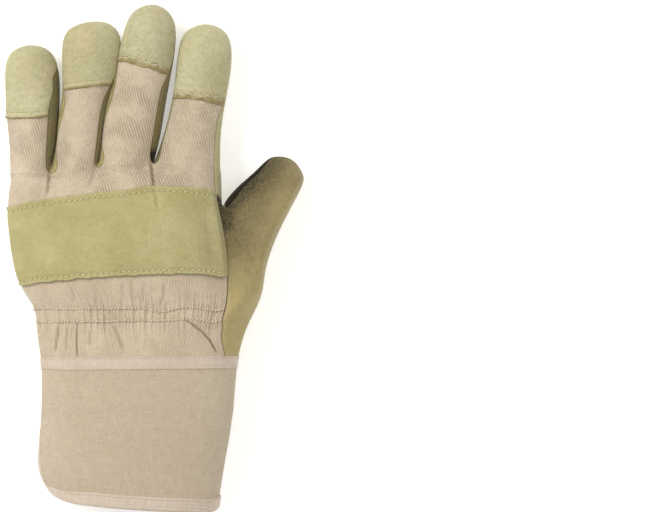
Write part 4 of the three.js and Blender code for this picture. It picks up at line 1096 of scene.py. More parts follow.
def flat_map_of(panel):
    """The map at every corner of the panel's quads, mixed from the four nearest places of each table."""
    uv = np.zeros((len(panel.faces), 4, 2))
    columns = {"hand": (1, 9, -3, 0, 5), **{name: (1, 3, 0, finger["hem"], 2) for name, finger in FINGERS.items()}}
    for region, limits in columns.items():
        mine = panel.region == REGIONS.index(region)
        table, low = arc_map(region, *limits)
        place = panel.uv[mine] * STEP - low
        base = np.clip(np.floor(place + 1e-9).astype(int), 0, np.array(table.shape[:2]) - 2)
        s, t = np.moveaxis((place - base)[..., None], 2, 0)
        c, r = base[..., 0], base[..., 1]
        uv[mine] = ((table[c, r] * (1 - s) + table[c + 1, r] * s) * (1 - t)
                    + (table[c, r + 1] * (1 - s) + table[c + 1, r + 1] * s) * t)
    return uv

# %% Finger backs in twill
def above_strap(panel):
    """1 on the cloth that shows above the knuckle strap, falling to 0 under its edge."""
    return smoothstep(panel.place[:, 1], -2.1, -1.6)


def twill_height(panel, d, border):
    """Turned edges, folds running out of the webs, cockles, all gone under the knuckle strap."""
    soft = (0.08 * lumps(panel.points, 9.0) + 0.05 * lumps(panel.points, 3.0)) * smoothstep(d, 0.5, 4.0)
    folds = all_creases(panel.points, BACK_CREASES) * smoothstep(d, 0.0, 1.0)
    return seam_roll(d, 0.35, 1.1) + above_strap(panel) * (soft + folds)


skin_region = to_points(skin.faces, np.repeat(skin.region[:, None], 4, 1), len(skin.points))
for name, finger in FINGERS.items():
    mine = np.flatnonzero((skin_region == REGIONS.index(name)) & (vertex_uv[:, 0] >= 1) & (vertex_uv[:, 0] <= 3))
    c, r = vertex_uv[mine].T
    sag = bow(*finger["hem_sag"], (c - 1) / 2) * np.sin(np.pi * np.clip((c - 1) / 2, 0, 1)) ** 0.5
    skin.points[mine, 1] += sag * np.exp(-((r - finger["hem"]) / 0.5) ** 2)


def fold_shade(panel):
    """Painted shade in the folds, where the cloth isn't under the strap."""
    return crease_shade(panel.points, BACK_CREASES) * above_strap(panel)


sewn_panel("finger_back_panel", "finger_backs", "finger_back_cloth", cotton_twill, "cotton_twill", CLOTH_WALL,
           twill_height, fold_shade, levels=1)

# %% [markdown]
# Each fingertip cap is leather that lies over the end of the cloth, so it stands a little proud at its hem,
# where the edge is turned under and sewn. The turned edge is a flat roll swept along the hem line.

# %% Fingertip caps
CAP_RISE = 0.9
HEM_STITCH_INSET = 3.0


def cap_height(panel, d, border):
    """Proud of the cloth at the hem, pulled in under the row of stitches, rolled down at the side seams."""
    points, row = panel.points, panel.place[:, 1]
    at_hem = border[row[border] < row.min() + 1e-3]
    from_hem = distance_to(points, points[at_hem])
    side = distance_to(points, points[np.setdiff1d(border, at_hem)])
    pulled = 0.35 * np.exp(-((from_hem - HEM_STITCH_INSET) / 1.1) ** 2)
    rise = (CAP_RISE * np.exp(-(from_hem / 7.0) ** 2) - pulled) * smoothstep(side, 0.0, 2.5)
    return seam_roll(side) + rise + 0.15 * lumps(points, 10.0) * smoothstep(d, 0.5, 5.0)


# Painted shade: the middle cap, and the ring cap a little, are darkened towards dark brown.
CAP_SHADES = {"little": 0.0, "ring": 0.02, "middle": 0.1, "index": 0.0}
for name, finger in FINGERS.items():
    sewn_panel(name + "_cap_panel", finger["cap"], "fingertip_" + name, cap_leather, "grain_leather", LEATHER_WALL,
               cap_height, lambda panel: np.full(len(panel.points), CAP_SHADES[name]))

# %% [markdown]
# Trims such as tape, piping and rolled hems are a small profile carried along a path. At each place of the
# path the profile's two numbers are measured across the path and outwards from the skin.

# %% Sweeping a profile along a path
def numbered(*shape):
    """Vertex numbers in the layout of a grid."""
    return np.arange(np.prod(shape)).reshape(shape)


def tube_quads(index, closed=False):
    """Quads of a tube: its vertex numbers run round each ring on the last axis, and from ring to ring on the
    axis before it. A closed tube joins its last ring to its first."""
    this, following = (index, np.roll(index, -1, -2)) if closed else (index[..., :-1, :], index[..., 1:, :])
    return np.stack([this, np.roll(this, -1, -1), np.roll(following, -1, -1), following], -1).reshape(-1, 4)


def sweep(centres, sides, outs, profile):
    """Points = centre + side * across + out * height, for every place and profile point. Returns the
    points, the quads between neighbouring places and the two end polygons."""
    points = centres[:, None] + sides[:, None] * profile[..., :1] + outs[:, None] * profile[..., 1:]
    index = numbered(*points.shape[:2])
    return outward(points.reshape(-1, 3), [tube_quads(index), index[:1, ::-1], index[-1:]])


def outward(points, blocks):
    """Turns all faces over if the volume that they enclose comes out negative."""
    q = blocks[0]
    a, b, c, d = (points[q[:, i]] for i in range(4))
    volume = (np.cross(a, b) * c).sum() + (np.cross(a, c) * d).sum()
    return points, blocks if volume > 0 else [block[:, ::-1] for block in blocks]


def beside_path(points, normals):
    """Unit vectors across the path, in the surface."""
    return unit(np.cross(normals, unit(np.gradient(points, axis=0))))


def tapered(count, steps, tip):
    """1 along a path, falling over a number of steps to the tip's share at both ends."""
    from_end = np.minimum(np.arange(count), count - 1 - np.arange(count))
    return np.clip(from_end / steps + tip, 0, 1)[:, None, None]


def rounded(width, height, count=12, power=3.0):
    """A closed flat oval, a superellipse of the given half width and half height."""
    turn = np.arange(count) * TURN / count
    c, s = np.cos(turn), np.sin(turn)
    return np.stack([width * np.sign(c) * np.abs(c) ** (2 / power), height * np.sign(s) * np.abs(s) ** (2 / power)], 1)


def join(parts):
    """Several meshes as one: points stacked and faces renumbered."""
    points, blocks, first = [], [], 0
    for p, b in parts:
        points.append(p)
        blocks += [block + first for block in b]
        first += len(p)
    return np.vstack(points), blocks

# %% Turned hems of the caps
HEM_WIDTHS = {"little": (0.55, 0.6), "ring": (0.5, 1.0), "middle": (1.15, 1.35), "index": (1.0, 1.5)}
HEM_WANDERS = {"little": 0.3, "ring": 0.35, "middle": 0.95, "index": 0.7}
HEM_PLACES = 90
hems = []
for name, finger in FINGERS.items():
    p, n = finger_at[name](np.linspace(1.03, 2.97, HEM_PLACES), float(finger["hem"]))
    side = beside_path(p, n)
    uneven = lumps(p, 2.6)[:, None, None]
    widths = np.linspace(*HEM_WIDTHS[name], HEM_PLACES)[:, None, None] * (1 + 0.4 * uneven)
    profile = rounded(1.0, 1.0, 14, 2.6)[None] * np.concatenate([widths, 0.66 + 0.14 * uneven], -1)
    ends = tapered(HEM_PLACES, 6, 0.2)
    wander = HEM_WANDERS[name] * lumps(p + 40, 4.2, 3)[:, None]
    hems.append(sweep(p + side * wander + n * (0.36 * ends[..., 0]), side, n, profile * ends))
make_piece("cap_hem_rolls", *join(hems), hem_leather, "grain_leather",
           seam=np.full(sum(len(p) for p, _ in hems), FAR_FROM_SEAM))

# %% [markdown]
# The gathered wrist is the back cloth drawn in by elastic. Pleats are many narrow valleys with their own
# place, width and depth. They are deepest at the two rows of elastic stitches and run out towards the
# strap and the tape.

# %% A wall from a grid of samples
def eased(count, fine=(0.0, 0.003, 0.008, 0.016)):
    """Parameters from 0 to 1, closer together at both ends so that an edge can be rounded."""
    inside = np.linspace(0.028, 0.972, count)
    return np.concatenate([fine, inside, 1 - np.array(fine[::-1])])


def grid_faces(rows, columns):
    index = numbered(rows, columns)
    return np.stack([index[:-1, :-1], index[1:, :-1], index[1:, 1:], index[:-1, 1:]], -1).reshape(-1, 4)


def lengths_over(points):
    """Length across (u) and down (v) at each grid point, measured on the surface from its first corner."""
    return lengths_along(points, 1), lengths_along(points, 0)


def from_edges(points):
    """Distance on the surface from each grid point to the nearer end and to the nearer long edge."""
    u, v = lengths_over(points)
    return np.minimum(u, u[:, -1:] - u), np.minimum(v, v[-1:] - v)


def grid_piece(name, points, normals, thickness, material, slot, replaced=(), gap=0.0, roll=(0.5, 0.9), shade=None,
               flush_ends=False):
    """A walled grid whose edges are rolled over, with its flat map and its distance to the border."""
    rows, columns = points.shape[:2]
    u, v = lengths_over(points)
    from_end, d = from_edges(points)
    if not flush_ends:
        d = np.minimum(d, from_end)
    depth, width = roll
    t = np.clip(1 - d / width, 0, 1)
    shaped = points - normals * (depth * (1 - np.sqrt(1 - 0.98 * t ** 2)))[..., None]
    shaped[..., 2] = np.maximum(shaped[..., 2], 0)
    made, blocks = outward(*walled(shaped.reshape(-1, 3), normals.reshape(-1, 3), grid_faces(rows, columns),
                                   thickness, gap))
    middle = slice(columns // 2, columns // 2 + 1)
    flat = np.stack([u - u[:, middle] + points[:, middle, 0], points[:1, middle, 1] - v], -1)
    flat = np.tile(flat.reshape(-1, 2), (2, 1))
    uv = np.vstack([flat[block.ravel()] for block in blocks])
    shades = None if shade is None else np.tile(shade.ravel(), 2)
    make_piece(name, made, blocks, material, slot, replaced, np.tile(d.ravel(), 2), uv, shades)

# %% Wrist cloth with pleats
PLEATS = 46
WRIST_CREASES = [
    ([(-50.4, -35.0), (-51.4, -42.0), (-52.8, -52.0)], 1.6, 0.6),
    ([(-40.7, -33.0), (-41.1, -44.0), (-40.7, -58.0)], 1.5, 0.5),
    ([(-21.2, -37.0), (-18.5, -43.0), (-15.8, -50.5)], 1.1, 1.0),
    ([(17.0, -34.0), (25.5, -40.3), (30.3, -45.7), (34.8, -54.0)], 2.0, 0.55),
    ([(-45.6, -13.5), (-43.2, -19.0), (-41.6, -25.0)], 0.8, 0.9),
    ([(-46.3, -38.0), (-46.6, -46.0), (-46.0, -52.0)], 1.0, 0.8),
    ([(-33.5, -40.0), (-33.9, -48.0)], 0.9, 0.8),
    ([(6.0, -14.0), (5.5, -22.0), (4.0, -27.0)], 0.8, 1.1),
    ([(-30.7, -15.0), (-30.2, -27.0)], 0.5, 1.1),
    ([(-16.2, -13.0), (-16.5, -28.0)], 0.6, 1.0),
    ([(-11.3, -13.5), (-10.8, -28.0)], 0.4, 0.9),
    ([(-4.6, -12.5), (-6.0, -28.0)], 0.5, 1.1),
    ([(-4.0, -40.0), (1.0, -48.0), (4.0, -55.0)], 0.5, 1.6),
]
ELASTIC_ROWS = (5.08, 5.62)
pleat_at, pleat_wide = np.sort(rng.uniform(0.02, 0.98, PLEATS)), rng.uniform(0.006, 0.013, PLEATS)
pleat_deep, pleat_lean = rng.uniform(0.12, 0.42, PLEATS), rng.uniform(-0.012, 0.012, PLEATS)
pleat_mid, pleat_long = rng.uniform(5.0, 5.9, PLEATS), rng.uniform(0.5, 1.1, PLEATS)


def elastic_row(row, share):
    """The row of the elastic stitches at each share: it wanders, and the upper one sags near the thumb."""
    sag = 0.16 * (row < 5.3) * np.exp(-((share - 0.71) / 0.06) ** 2)
    return row + 0.028 * lumps(on_line(share * 140, 9 * row), 5.0, 3) + sag


def gather(share, row):
    """Sum of narrow valleys -depth exp(-((share - place) / width)^2), each fading along the rows, and a
    pinch at each elastic row."""
    off = share[..., None] - pleat_at - pleat_lean * (row[..., None] - 5.4)
    along = np.exp(-((row[..., None] - pleat_mid) / pleat_long) ** 2)
    valleys = -(pleat_deep * along * np.exp(-(off / pleat_wide) ** 2)).sum(-1)
    wavy = (np.sin(TURN * 31 * share + 1.5 * np.sin(9 * share))
            + 0.9 * np.sin(TURN * 53 * share + 2.5 * np.sin(13 * share)))
    ripple = 0.22 * wavy * np.exp(-np.abs((row - 5.35) / 0.75) ** 3)
    pinch = sum(np.exp(-((row - elastic_row(r, share)) / 0.07) ** 2) for r in ELASTIC_ROWS)
    sides = smoothstep(share, 0, 0.04) * smoothstep(1 - share, 0, 0.04)
    ends = smoothstep(row, 4.0, 4.25) * smoothstep(7 - row, 0.05, 0.4)
    return sides * ends * (0.35 + 1.3 * valleys + ripple - 0.2 * pinch)


share, row = np.meshgrid(eased(320), 3 + 4 * eased(120))
wrist_points, wrist_normals = hand_at(1 + 8 * share, -row)
open_part = (smoothstep(row, 4.05, 4.3) * smoothstep(7 - row, 0.1, 0.4)
             * smoothstep(share, 0, 0.03) * smoothstep(1 - share, 0, 0.03))
# Painted shade in the bottom of the wrist creases.
wrist_shade = open_part * crease_shade(wrist_points, WRIST_CREASES)
drape = all_creases(wrist_points, WRIST_CREASES) + 0.3 * lumps(wrist_points * (1, 0.45, 1), 8.0)
lift = gather(share, row) + open_part * drape
wrist_points = wrist_points + wrist_normals * lift[..., None]
grid_piece("gathered_wrist_panel", wrist_points, wrist_normals, CLOTH_WALL, wrist_twill, "cotton_twill",
           ("wrist_back_cloth",), gap=0.3, shade=wrist_shade)

# %% [markdown]
# The knuckle strap is a separate band of leather sewn on top, so it is a grid laid over the skin at the
# thickness of the leather. Its rows of stitches pull it down near both long edges.

# %% Knuckle strap
STRAP_HEIGHT = LAYER_GAP + LEATHER_WALL
STRAP_INSET, STRAP_TOP_INSET = 2.4, 3.0
STRAP_LENGTH, STRAP_DEPTH = 110, 45
STRAP_CREASES = [
    ([(0.0, 36.0), (1.6, 30.0), (2.6, 24.0)], 0.9, 1.3),
    ([(-57.0, 30.0), (-57.5, 24.0)], 0.4, 1.6),
    ([(26.0, 26.0), (29.0, 12.0), (31.0, -4.0)], 0.45, 3.0),
]


def strap_at(share, down):
    """Place on the strap: share of its length, and 0 at its top edge to 1 at its bottom edge."""
    row = STRAP_TOP_ROW + (STRAP_BOTTOM_ROW - STRAP_TOP_ROW) * down
    crest = 0.2 * np.exp(-((share - 0.8) / 0.16) ** 2) * (STRAP_BOTTOM_ROW - row) / 2
    return hand_at(1 + 8 * share, crest - row)


share, down = np.meshgrid(eased(260), eased(90))
length = share * STRAP_LENGTH
ragged = lumps(on_line(length, z=3), 3.5, 3) * 0.65 + lumps(on_line(length, y=9), 14.0) * 0.5
ragged = np.where(down < 0.5, ragged, np.roll(ragged, 60, 1))
down = down + ragged / STRAP_DEPTH * 2 * np.abs(down - 0.5)
strap_points, strap_normals = strap_at(share, down)
from_end, from_edge = from_edges(strap_points)
inset = np.where(down < 0.5, STRAP_TOP_INSET, STRAP_INSET)
dents = -0.42 * np.exp(-((from_edge - inset) / 0.9) ** 2) + 0.15 * np.exp(-((from_edge - 0.6) / 0.8) ** 2)
broad = 0.25 * lumps(strap_points, 14.0) * smoothstep(from_edge, 1, 6)
fold = all_creases(strap_points, STRAP_CREASES)
cockle = 0.16 * np.sin(strap_points[..., 0] * 2.0 + 2 * ragged) * np.exp(-(from_edge / 2.2) ** 2)
rise = 0.05 + (STRAP_HEIGHT - 0.05) * smoothstep(from_end, 0, 4.0)
strap_points = strap_points + strap_normals * (rise + dents + broad + fold + cockle)[..., None]
# Painted shade: the strap turns darker brown towards its right end, beside the thumb.
strap_shade = 0.1 * np.exp(-((strap_points[..., 0] - 29) / 8) ** 2 - ((strap_points[..., 1] - 4) / 10) ** 2)
grid_piece("knuckle_strap_band", strap_points, strap_normals, LEATHER_WALL, strap_leather, "strap_leather",
           ("knuckle_strap",), roll=(0.6, 0.8), shade=strap_shade, flush_ends=True)

# %% [markdown]
# The cuff is stiff canvas, so it keeps its round shape and only buckles a little. It is the cuff skin with a
# wall, open at the hem and along the slit on the little-finger side.

# %% Canvas cuff
CORNER_COLUMNS, CORNER_ROWS = 0.6, 0.2


def from_slit(column):
    """Columns from the slit, whichever way round is shorter."""
    return np.minimum(column, ROUND - column)


def round_corners(column, row):
    """Near the two free corners a square of columns and rows is pressed into a quarter disc: from 0 at its
    inner sides to 1 at the edges, p becomes p sqrt(1 - q^2 / 2) and q becomes q sqrt(1 - p^2 / 2)."""
    side = from_slit(column)
    p, q = np.clip(1 - side / CORNER_COLUMNS, 0, 1), np.clip(1 - (HEM_ROW - row) / CORNER_ROWS, 0, 1)
    side = side + CORNER_COLUMNS * p * (1 - np.sqrt(1 - q * q / 2))
    row = row - CORNER_ROWS * q * (1 - np.sqrt(1 - p * p / 2))
    return np.where(column < ROUND / 2, side, ROUND - side), row


cuff_uv = to_points(cuff_skin.faces, cuff_skin.uv, len(cuff_skin.points))
slanted = cuff_skin.points @ np.array([[0.16, 0.42, 0], [-0.1, 0.3, 0], [0, 0, 0.2]])
buckle = 0.5 * lumps(cuff_skin.points, 22.0) + 0.24 * lumps(slanted, 1.6)
free = smoothstep(cuff_uv[:, 1], 0.15, 0.6) * smoothstep(HEM_ROW - cuff_uv[:, 1], 0.35, 0.8)
free = free * smoothstep(from_slit(cuff_uv[:, 0]), 0.8, 1.6)
cuff_points, cuff_normals = cuff_at(*round_corners(*cuff_uv.T))
cuff_points = cuff_points + cuff_normals * (buckle * free * (cuff_normals[:, 2] > 0))[:, None]
cuff_border = np.unique(border_of(cuff_skin.faces)[0])
cuff_seam = distance_to(cuff_points, cuff_points[cuff_border])
made, blocks = walled(cuff_points, cuff_normals, cuff_skin.faces, CANVAS_WALL, 0.2)
grid, low = index_grid(cuff_skin, "cuff")
u, v = lengths_over(cuff_skin.points[grid].transpose(1, 0, 2))
column, row = np.moveaxis(np.rint(cuff_skin.uv * STEP).astype(int) - low, -1, 0)
cuff_map = wall_map(cuff_skin.faces, np.stack([u[row, column], -v[row, column]], -1), blocks, len(made))
make_piece("canvas_cuff_shell", made, blocks, cuff_canvas, "cuff_canvas", ("safety_cuff",),
           np.tile(cuff_seam, 2), cuff_map)

# %% [markdown]
# Tape covers the seam between hand and cuff. Its profile is a thin flat band that bulges over the seam
# inside it and is sewn down along both edges.

# %% Tape over the wrist seam
def swept_map(rings, faces, closed=False):
    """A flat map for a tube's quads in millimetres: u round the ring, v along the tube. Where outward() has
    turned the faces over, their corners come in the reverse order."""
    v = lengths_along(np.vstack([rings[:, 0], rings[:1, 0]]))
    u = lengths_along(np.vstack([rings[0], rings[0, :1]]))
    i, j = np.indices((len(rings) - (not closed), rings.shape[1]))
    corners = [np.stack([u[j + a], v[i + b]], -1) for a, b in ((0, 0), (1, 0), (1, 1), (0, 1))]
    uv = np.stack(corners, 2).reshape(-1, 4, 2)
    turned_over = faces[0, 0] != 0
    return (uv[:, ::-1] if turned_over else uv).reshape(-1, 2)


TAPE_PLACES = 420
TAPE_INSIDE, TAPE_OUTSIDE = -0.3, 0.32
columns = np.arange(TAPE_PLACES) * ROUND / TAPE_PLACES
tape_centre, tape_normal = hand_at(columns, -SEAM_ROW)
above = unit(hand_at(columns, 0.25 - SEAM_ROW)[0] - tape_centre)
below = unit(cuff_at(columns, 0.25)[0] - tape_centre)
across_tape = TAPE_HALF_WIDTH * np.array([1, 0.97, 0.85, 0.7, 0.5, 0.25, 0, -0.25, -0.5, -0.7, -0.85, -0.97, -1])
from_middle = np.abs(across_tape) / TAPE_HALF_WIDTH
puckers = 0.10 * np.sin(columns * TURN * 3.1 + 2 * np.sin(columns)) + 0.06 * np.sin(columns * TURN * 7.7)
bulge = TAPE_OUTSIDE + 0.12 - 0.22 * np.exp(-((from_middle - 0.72) / 0.12) ** 2)
bulge[[0, -1]] = TAPE_INSIDE + 0.2
top = bulge[None] + puckers[:, None] * (1 - from_middle ** 4)
under = np.full((TAPE_PLACES, len(across_tape)), TAPE_INSIDE)


def tape_points(height, offsets):
    """Tape over hand or cuff: the offset runs along the one or the other, the height along the normal."""
    offsets = offsets[None, :, None]
    side = np.where(offsets > 0, above[:, None] * offsets, -below[:, None] * offsets)
    return tape_centre[:, None] + side + tape_normal[:, None] * height[..., None]


tape = np.concatenate([tape_points(top, across_tape), tape_points(under, across_tape)[:, ::-1]], 1)
tape[..., 2] = np.maximum(tape[..., 2], 0.02)
tape_mesh, tape_blocks = outward(tape.reshape(-1, 3), [tube_quads(numbered(*tape.shape[:2]), closed=True)])
make_piece("wrist_seam_tape", tape_mesh, tape_blocks, cotton_tape, "cotton_tape", ("wrist_tape",),
           seam=np.full(len(tape_mesh), FAR_FROM_SEAM), uv=swept_map(tape, tape_blocks[0], closed=True))

# %% [markdown]
# The cuff's free edge is bound with folded tape: round the hem, its corners and both sides of the slit. At
# each place of the border the binding follows the canvas inwards, turns over the edge and comes back inside.

# %% The border of the cuff as a path of columns and rows
SLIT_TOP = SLIT_ROW + 0.72


def border_path():
    """Columns and rows down the back side of the slit, round the hem and up the palm side, with the
    direction inwards; at the two corners the direction swings smoothly."""
    down = np.linspace(SLIT_TOP, HEM_ROW, 60)[:-1]
    round_hem = np.linspace(0, ROUND, 560)
    column, row = round_corners(np.concatenate([0 * down, round_hem, ROUND + 0 * down]),
                                np.concatenate([down, HEM_ROW + 0 * round_hem, down[::-1]]))
    reach = np.concatenate([down - HEM_ROW, from_slit(round_hem), (down - HEM_ROW)[::-1]])
    swing = smoothstep(reach, -0.9, 1.7) * np.pi / 2
    sign = np.where(column < ROUND / 2, 1.0, -1.0)
    return column, row, np.stack([sign * np.cos(swing) / 9.0, -np.sin(swing) / 15.0], 1)


column, row, inwards = border_path()
reach_steps = np.arange(0, 17)
trail_columns = np.clip(column[:, None] + inwards[:, :1] * reach_steps, 0, ROUND)
trail_rows = np.clip(row[:, None] + inwards[:, 1:] * reach_steps, 0, HEM_ROW)
trail, trail_normals = cuff_at(trail_columns, trail_rows)
trail_lengths, border_length = lengths_along(trail, 1), lengths_along(trail[:, 0])
print("binding path:", len(column), "places,", round(float(border_length[-1])), "mm")


def at_length(points, normals, lengths, target):
    """The point and the normal where the length along each row reaches its target, by linear steps."""
    k = np.clip((lengths < target[:, None]).sum(1), 1, lengths.shape[1] - 1)
    i = np.arange(len(k))
    t = ((target - lengths[i, k - 1]) / np.maximum(lengths[i, k] - lengths[i, k - 1], 1e-6))[:, None]
    return points[i, k - 1] * (1 - t) + points[i, k] * t, unit(normals[i, k - 1] * (1 - t) + normals[i, k] * t)


def on_canvas(reach):
    """The canvas at a distance in from the border, at every place of the border."""
    return at_length(trail, trail_normals, trail_lengths, np.maximum(reach, 0))

# %% Hem binding
BINDING_STITCH_INSET = 5.2


def binding_profile():
    """Across and outwards: along the outside, round the folded edge and back inside, then the same in
    reverse one tape thickness further in."""
    slack, canvas = 0.12, CANVAS_WALL
    turn = np.linspace(np.pi / 2, 3 * np.pi / 2, 9)
    flat = np.array([BINDING_WIDTH, BINDING_WIDTH * 0.97, BINDING_WIDTH * 0.86, 4.6, 3.4, 2.2, 1.0])

    def layer(off):
        """One skin of the tape at a distance off the canvas."""
        radius = canvas / 2 + off
        fold = np.stack([radius * np.cos(turn) + 0.25, radius * np.sin(turn) - canvas / 2], 1)
        outside, inside = np.stack([flat, 0 * flat + off], 1), np.stack([flat[::-1], 0 * flat - canvas - off], 1)
        return np.vstack([outside, fold, inside])

    outer, inner = layer(slack + TAPE_WALL), layer(slack * 0.55)
    edge = slack + TAPE_WALL * 0.35
    outer[[0, -1], 1] = [edge, -canvas - edge]
    return np.vstack([outer, inner[::-1]])


crinkle = (0.12 * np.sin(border_length * 1.35 + 1.5 * np.sin(border_length * 0.13))
           + 0.08 * np.sin(border_length * 2.9))
from_slit_top = np.minimum(border_length, border_length[-1] - border_length)
narrow = 0.48 + 0.52 * smoothstep(from_slit_top, 26, 66)
thin = 0.3 + 0.7 * smoothstep(from_slit_top, 14, 60)
lay = 0.45 + 0.55 * thin
inward_dir = unit(trail[:, 1] - trail[:, 0])
middle_of_canvas = -CANVAS_WALL / 2
rings = []
for x, out in binding_profile():
    base, normal = on_canvas(x * narrow)
    pulled = 0.25 * np.exp(-((x - BINDING_STITCH_INSET) / 0.7) ** 2)
    raised = out + (crinkle * (1 - abs(x / BINDING_WIDTH - 0.5) * 1.2) - pulled) * (out > 0.5)
    height = middle_of_canvas + (raised - middle_of_canvas) * lay
    rings.append(base + inward_dir * min(x, 0) * thin[:, None] + normal * height[:, None])
binding = np.stack(rings, 1)
binding[..., 2] = np.maximum(binding[..., 2], 0.02)
index = numbered(*binding.shape[:2])
around = binding.shape[1]
i = np.arange(around // 2 - 1)
end_quads = np.stack([i, i + 1, around - 2 - i, around - 1 - i], 1)
caps = np.vstack([index[0][end_quads[:, ::-1]], index[-1][end_quads]])
binding_mesh, binding_blocks = outward(binding.reshape(-1, 3), [tube_quads(index), caps])
binding_map = np.vstack([swept_map(binding, binding_blocks[0]), np.zeros((caps.size, 2))])
make_piece("cuff_edge_binding", binding_mesh, binding_blocks, cotton_tape, "cotton_tape", ("hem_binding",),
           seam=np.full(len(binding_mesh), FAR_FROM_SEAM), uv=binding_map)

# %% [markdown]
# On the palm side a leather patch covers the pulse, and a thin piping stands in the seam below the ring and
# middle fingers. The glove lies on both, so they are pressed flat at the floor.

# %% Pulse patch
PATCH_STITCH_INSET = 2.4


def patch_at(share, down):
    """Place on the patch by shares of its width and height; its lower corners are rounded, and its top lies
    over the tape."""
    corner = np.maximum((np.abs(2 * share - 1) - 1 + 0.26) / 0.26, 0)
    bottom = PATCH_BOTTOM - 0.1 * corner ** 2
    p, n = cuff_at(PATCH_FROM + (PATCH_TO - PATCH_FROM) * share, PATCH_TOP + (bottom - PATCH_TOP) * down)
    over_tape = 1 - smoothstep(down, 0.2, 0.45)
    return p + n * (LEATHER_WALL + 0.2 + 0.6 * over_tape)[..., None], n


share, down = np.meshgrid(eased(200), eased(60))
patch_points, patch_normals = patch_at(share, down)
from_edge = np.minimum(*from_edges(patch_points))
dents = -0.35 * np.exp(-((from_edge - PATCH_STITCH_INSET) / 0.9) ** 2) + 0.15 * lumps(patch_points, 12.0)
patch_points = patch_points + patch_normals * dents[..., None]
grid_piece("pulse_patch_panel", patch_points, patch_normals, LEATHER_WALL, grain_leather, "grain_leather",
           ("vein_patch",), roll=(0.6, 0.8))

# %% Palm piping
PIPING_RADIUS = 1.25
p, n = hand_at(np.linspace(13.08, 16.92, 120), -1.0)
round_cord = rounded(PIPING_RADIUS, PIPING_RADIUS, 12, 2.0)[None] * tapered(len(p), 5, 0.3)
piping, piping_blocks = sweep(p - n * 0.45, beside_path(p, n), n, round_cord)
piping[:, 2] = np.maximum(piping[:, 2], 0)
make_piece("palm_welt_piping", piping, piping_blocks, grain_leather, "grain_leather", ("palm_welt",),
           seam=np.full(len(piping), FAR_FROM_SEAM))

# %% [markdown]
# Stitches are the detail that shows how the glove is made. One stitch is a short bowed capsule that dips into
# the leather at both ends; a row is the same capsule set along a path by its arc length.

# %% Rows of stitches
STITCH_ALONG = np.array([-1.0, -0.86, -0.5, 0.0, 0.5, 0.86, 1.0])
STITCH_SWELL = np.array([0.45, 0.85, 1.0, 1.05, 1.0, 0.85, 0.45])
STITCH_SIDES = 6


def stitch_row(points, normals, pitch, length, radius, rise, sink=0.25, turn=0.0, shift=0.5, loose=0.0):
    """Capsules along a path: the middle of stitch k is at arc length (k + shift) pitch, its height over the
    path is rise (1 - u^2) - sink for u from -1 to 1. Each stitch leans across the path by turn, and by a
    random part of loose."""
    arc = lengths_along(points)
    count = int(arc[-1] // pitch)
    place = (np.arange(count) + shift) * arc[-1] / count
    turn = (turn + loose * rng.uniform(-1, 1, count))[:, None]

    def at(lengths, table):
        return np.stack([np.interp(lengths, arc, values) for values in table.T], -1)

    normal = unit(at(place, normals))
    along = unit(at(place + length / 2, points) - at(place - length / 2, points))
    side = np.cross(normal, along)
    along, side = along * np.cos(turn) + side * np.sin(turn), side * np.cos(turn) - along * np.sin(turn)
    u, swell = STITCH_ALONG[:, None], radius * STITCH_SWELL[:, None, None]
    angle = (np.arange(STITCH_SIDES) * TURN / STITCH_SIDES)[:, None]
    middle = at(place, points)[:, None] + along[:, None] * (u * length / 2)
    middle = middle + normal[:, None] * (rise * (1 - u ** 2) - sink)
    ring = side[:, None] * np.cos(angle) + normal[:, None] * np.sin(angle)
    made = middle[:, :, None] + ring[:, None] * swell
    made[..., 2] = np.maximum(made[..., 2], 0.0)
    index = numbered(*made.shape[:3])
    return outward(made.reshape(-1, 3), [tube_quads(index), index[:, 0, ::-1], index[:, -1]])


NEEDLE_HOLE = dict(length=0.62, radius=0.3, rise=0.0, sink=0.17, shift=0.0)
thread_rows, hole_rows = [], []


def seam_row(points, normals, pitch, turn=0.0, loose=0.15, **stitch):
    """A row of stitches, and the dark needle hole between each two of them."""
    thread_rows.append(stitch_row(points, normals, pitch, sink=0.2, turn=turn, loose=loose, **stitch))
    hole_rows.append(stitch_row(points, normals, pitch, turn=turn, **NEEDLE_HOLE))


def sew(name, material):
    """All rows of thread since the last call become one piece."""
    make_piece(name, *join(thread_rows), material, "cotton_tape")
    thread_rows.clear()

# %% Stitches of the strap
def grid_line(points, normals, inset):
    """A line across a grid at a given distance from its first row, or, if negative, from its last row."""
    lengths = lengths_along(points)
    target = lengths[0 if inset >= 0 else -1] + inset
    return at_length(points.transpose(1, 0, 2), normals.transpose(1, 0, 2), lengths.T, target)


def sew_line(grid, inset, margin, **stitch):
    """A seam along one edge of a grid, that stops a few columns before both ends."""
    p, n = grid_line(*grid, inset)
    seam_row(p[margin:-margin], n[margin:-margin], **stitch)


STRAP_STITCH = dict(pitch=3.1, length=2.2, radius=0.34, rise=0.5, turn=0.12, loose=0.3)
for inset in (STRAP_TOP_INSET, -STRAP_INSET):
    sew_line((strap_points, strap_normals), inset, 8, **STRAP_STITCH)
sew("strap_stitches", pale_thread)

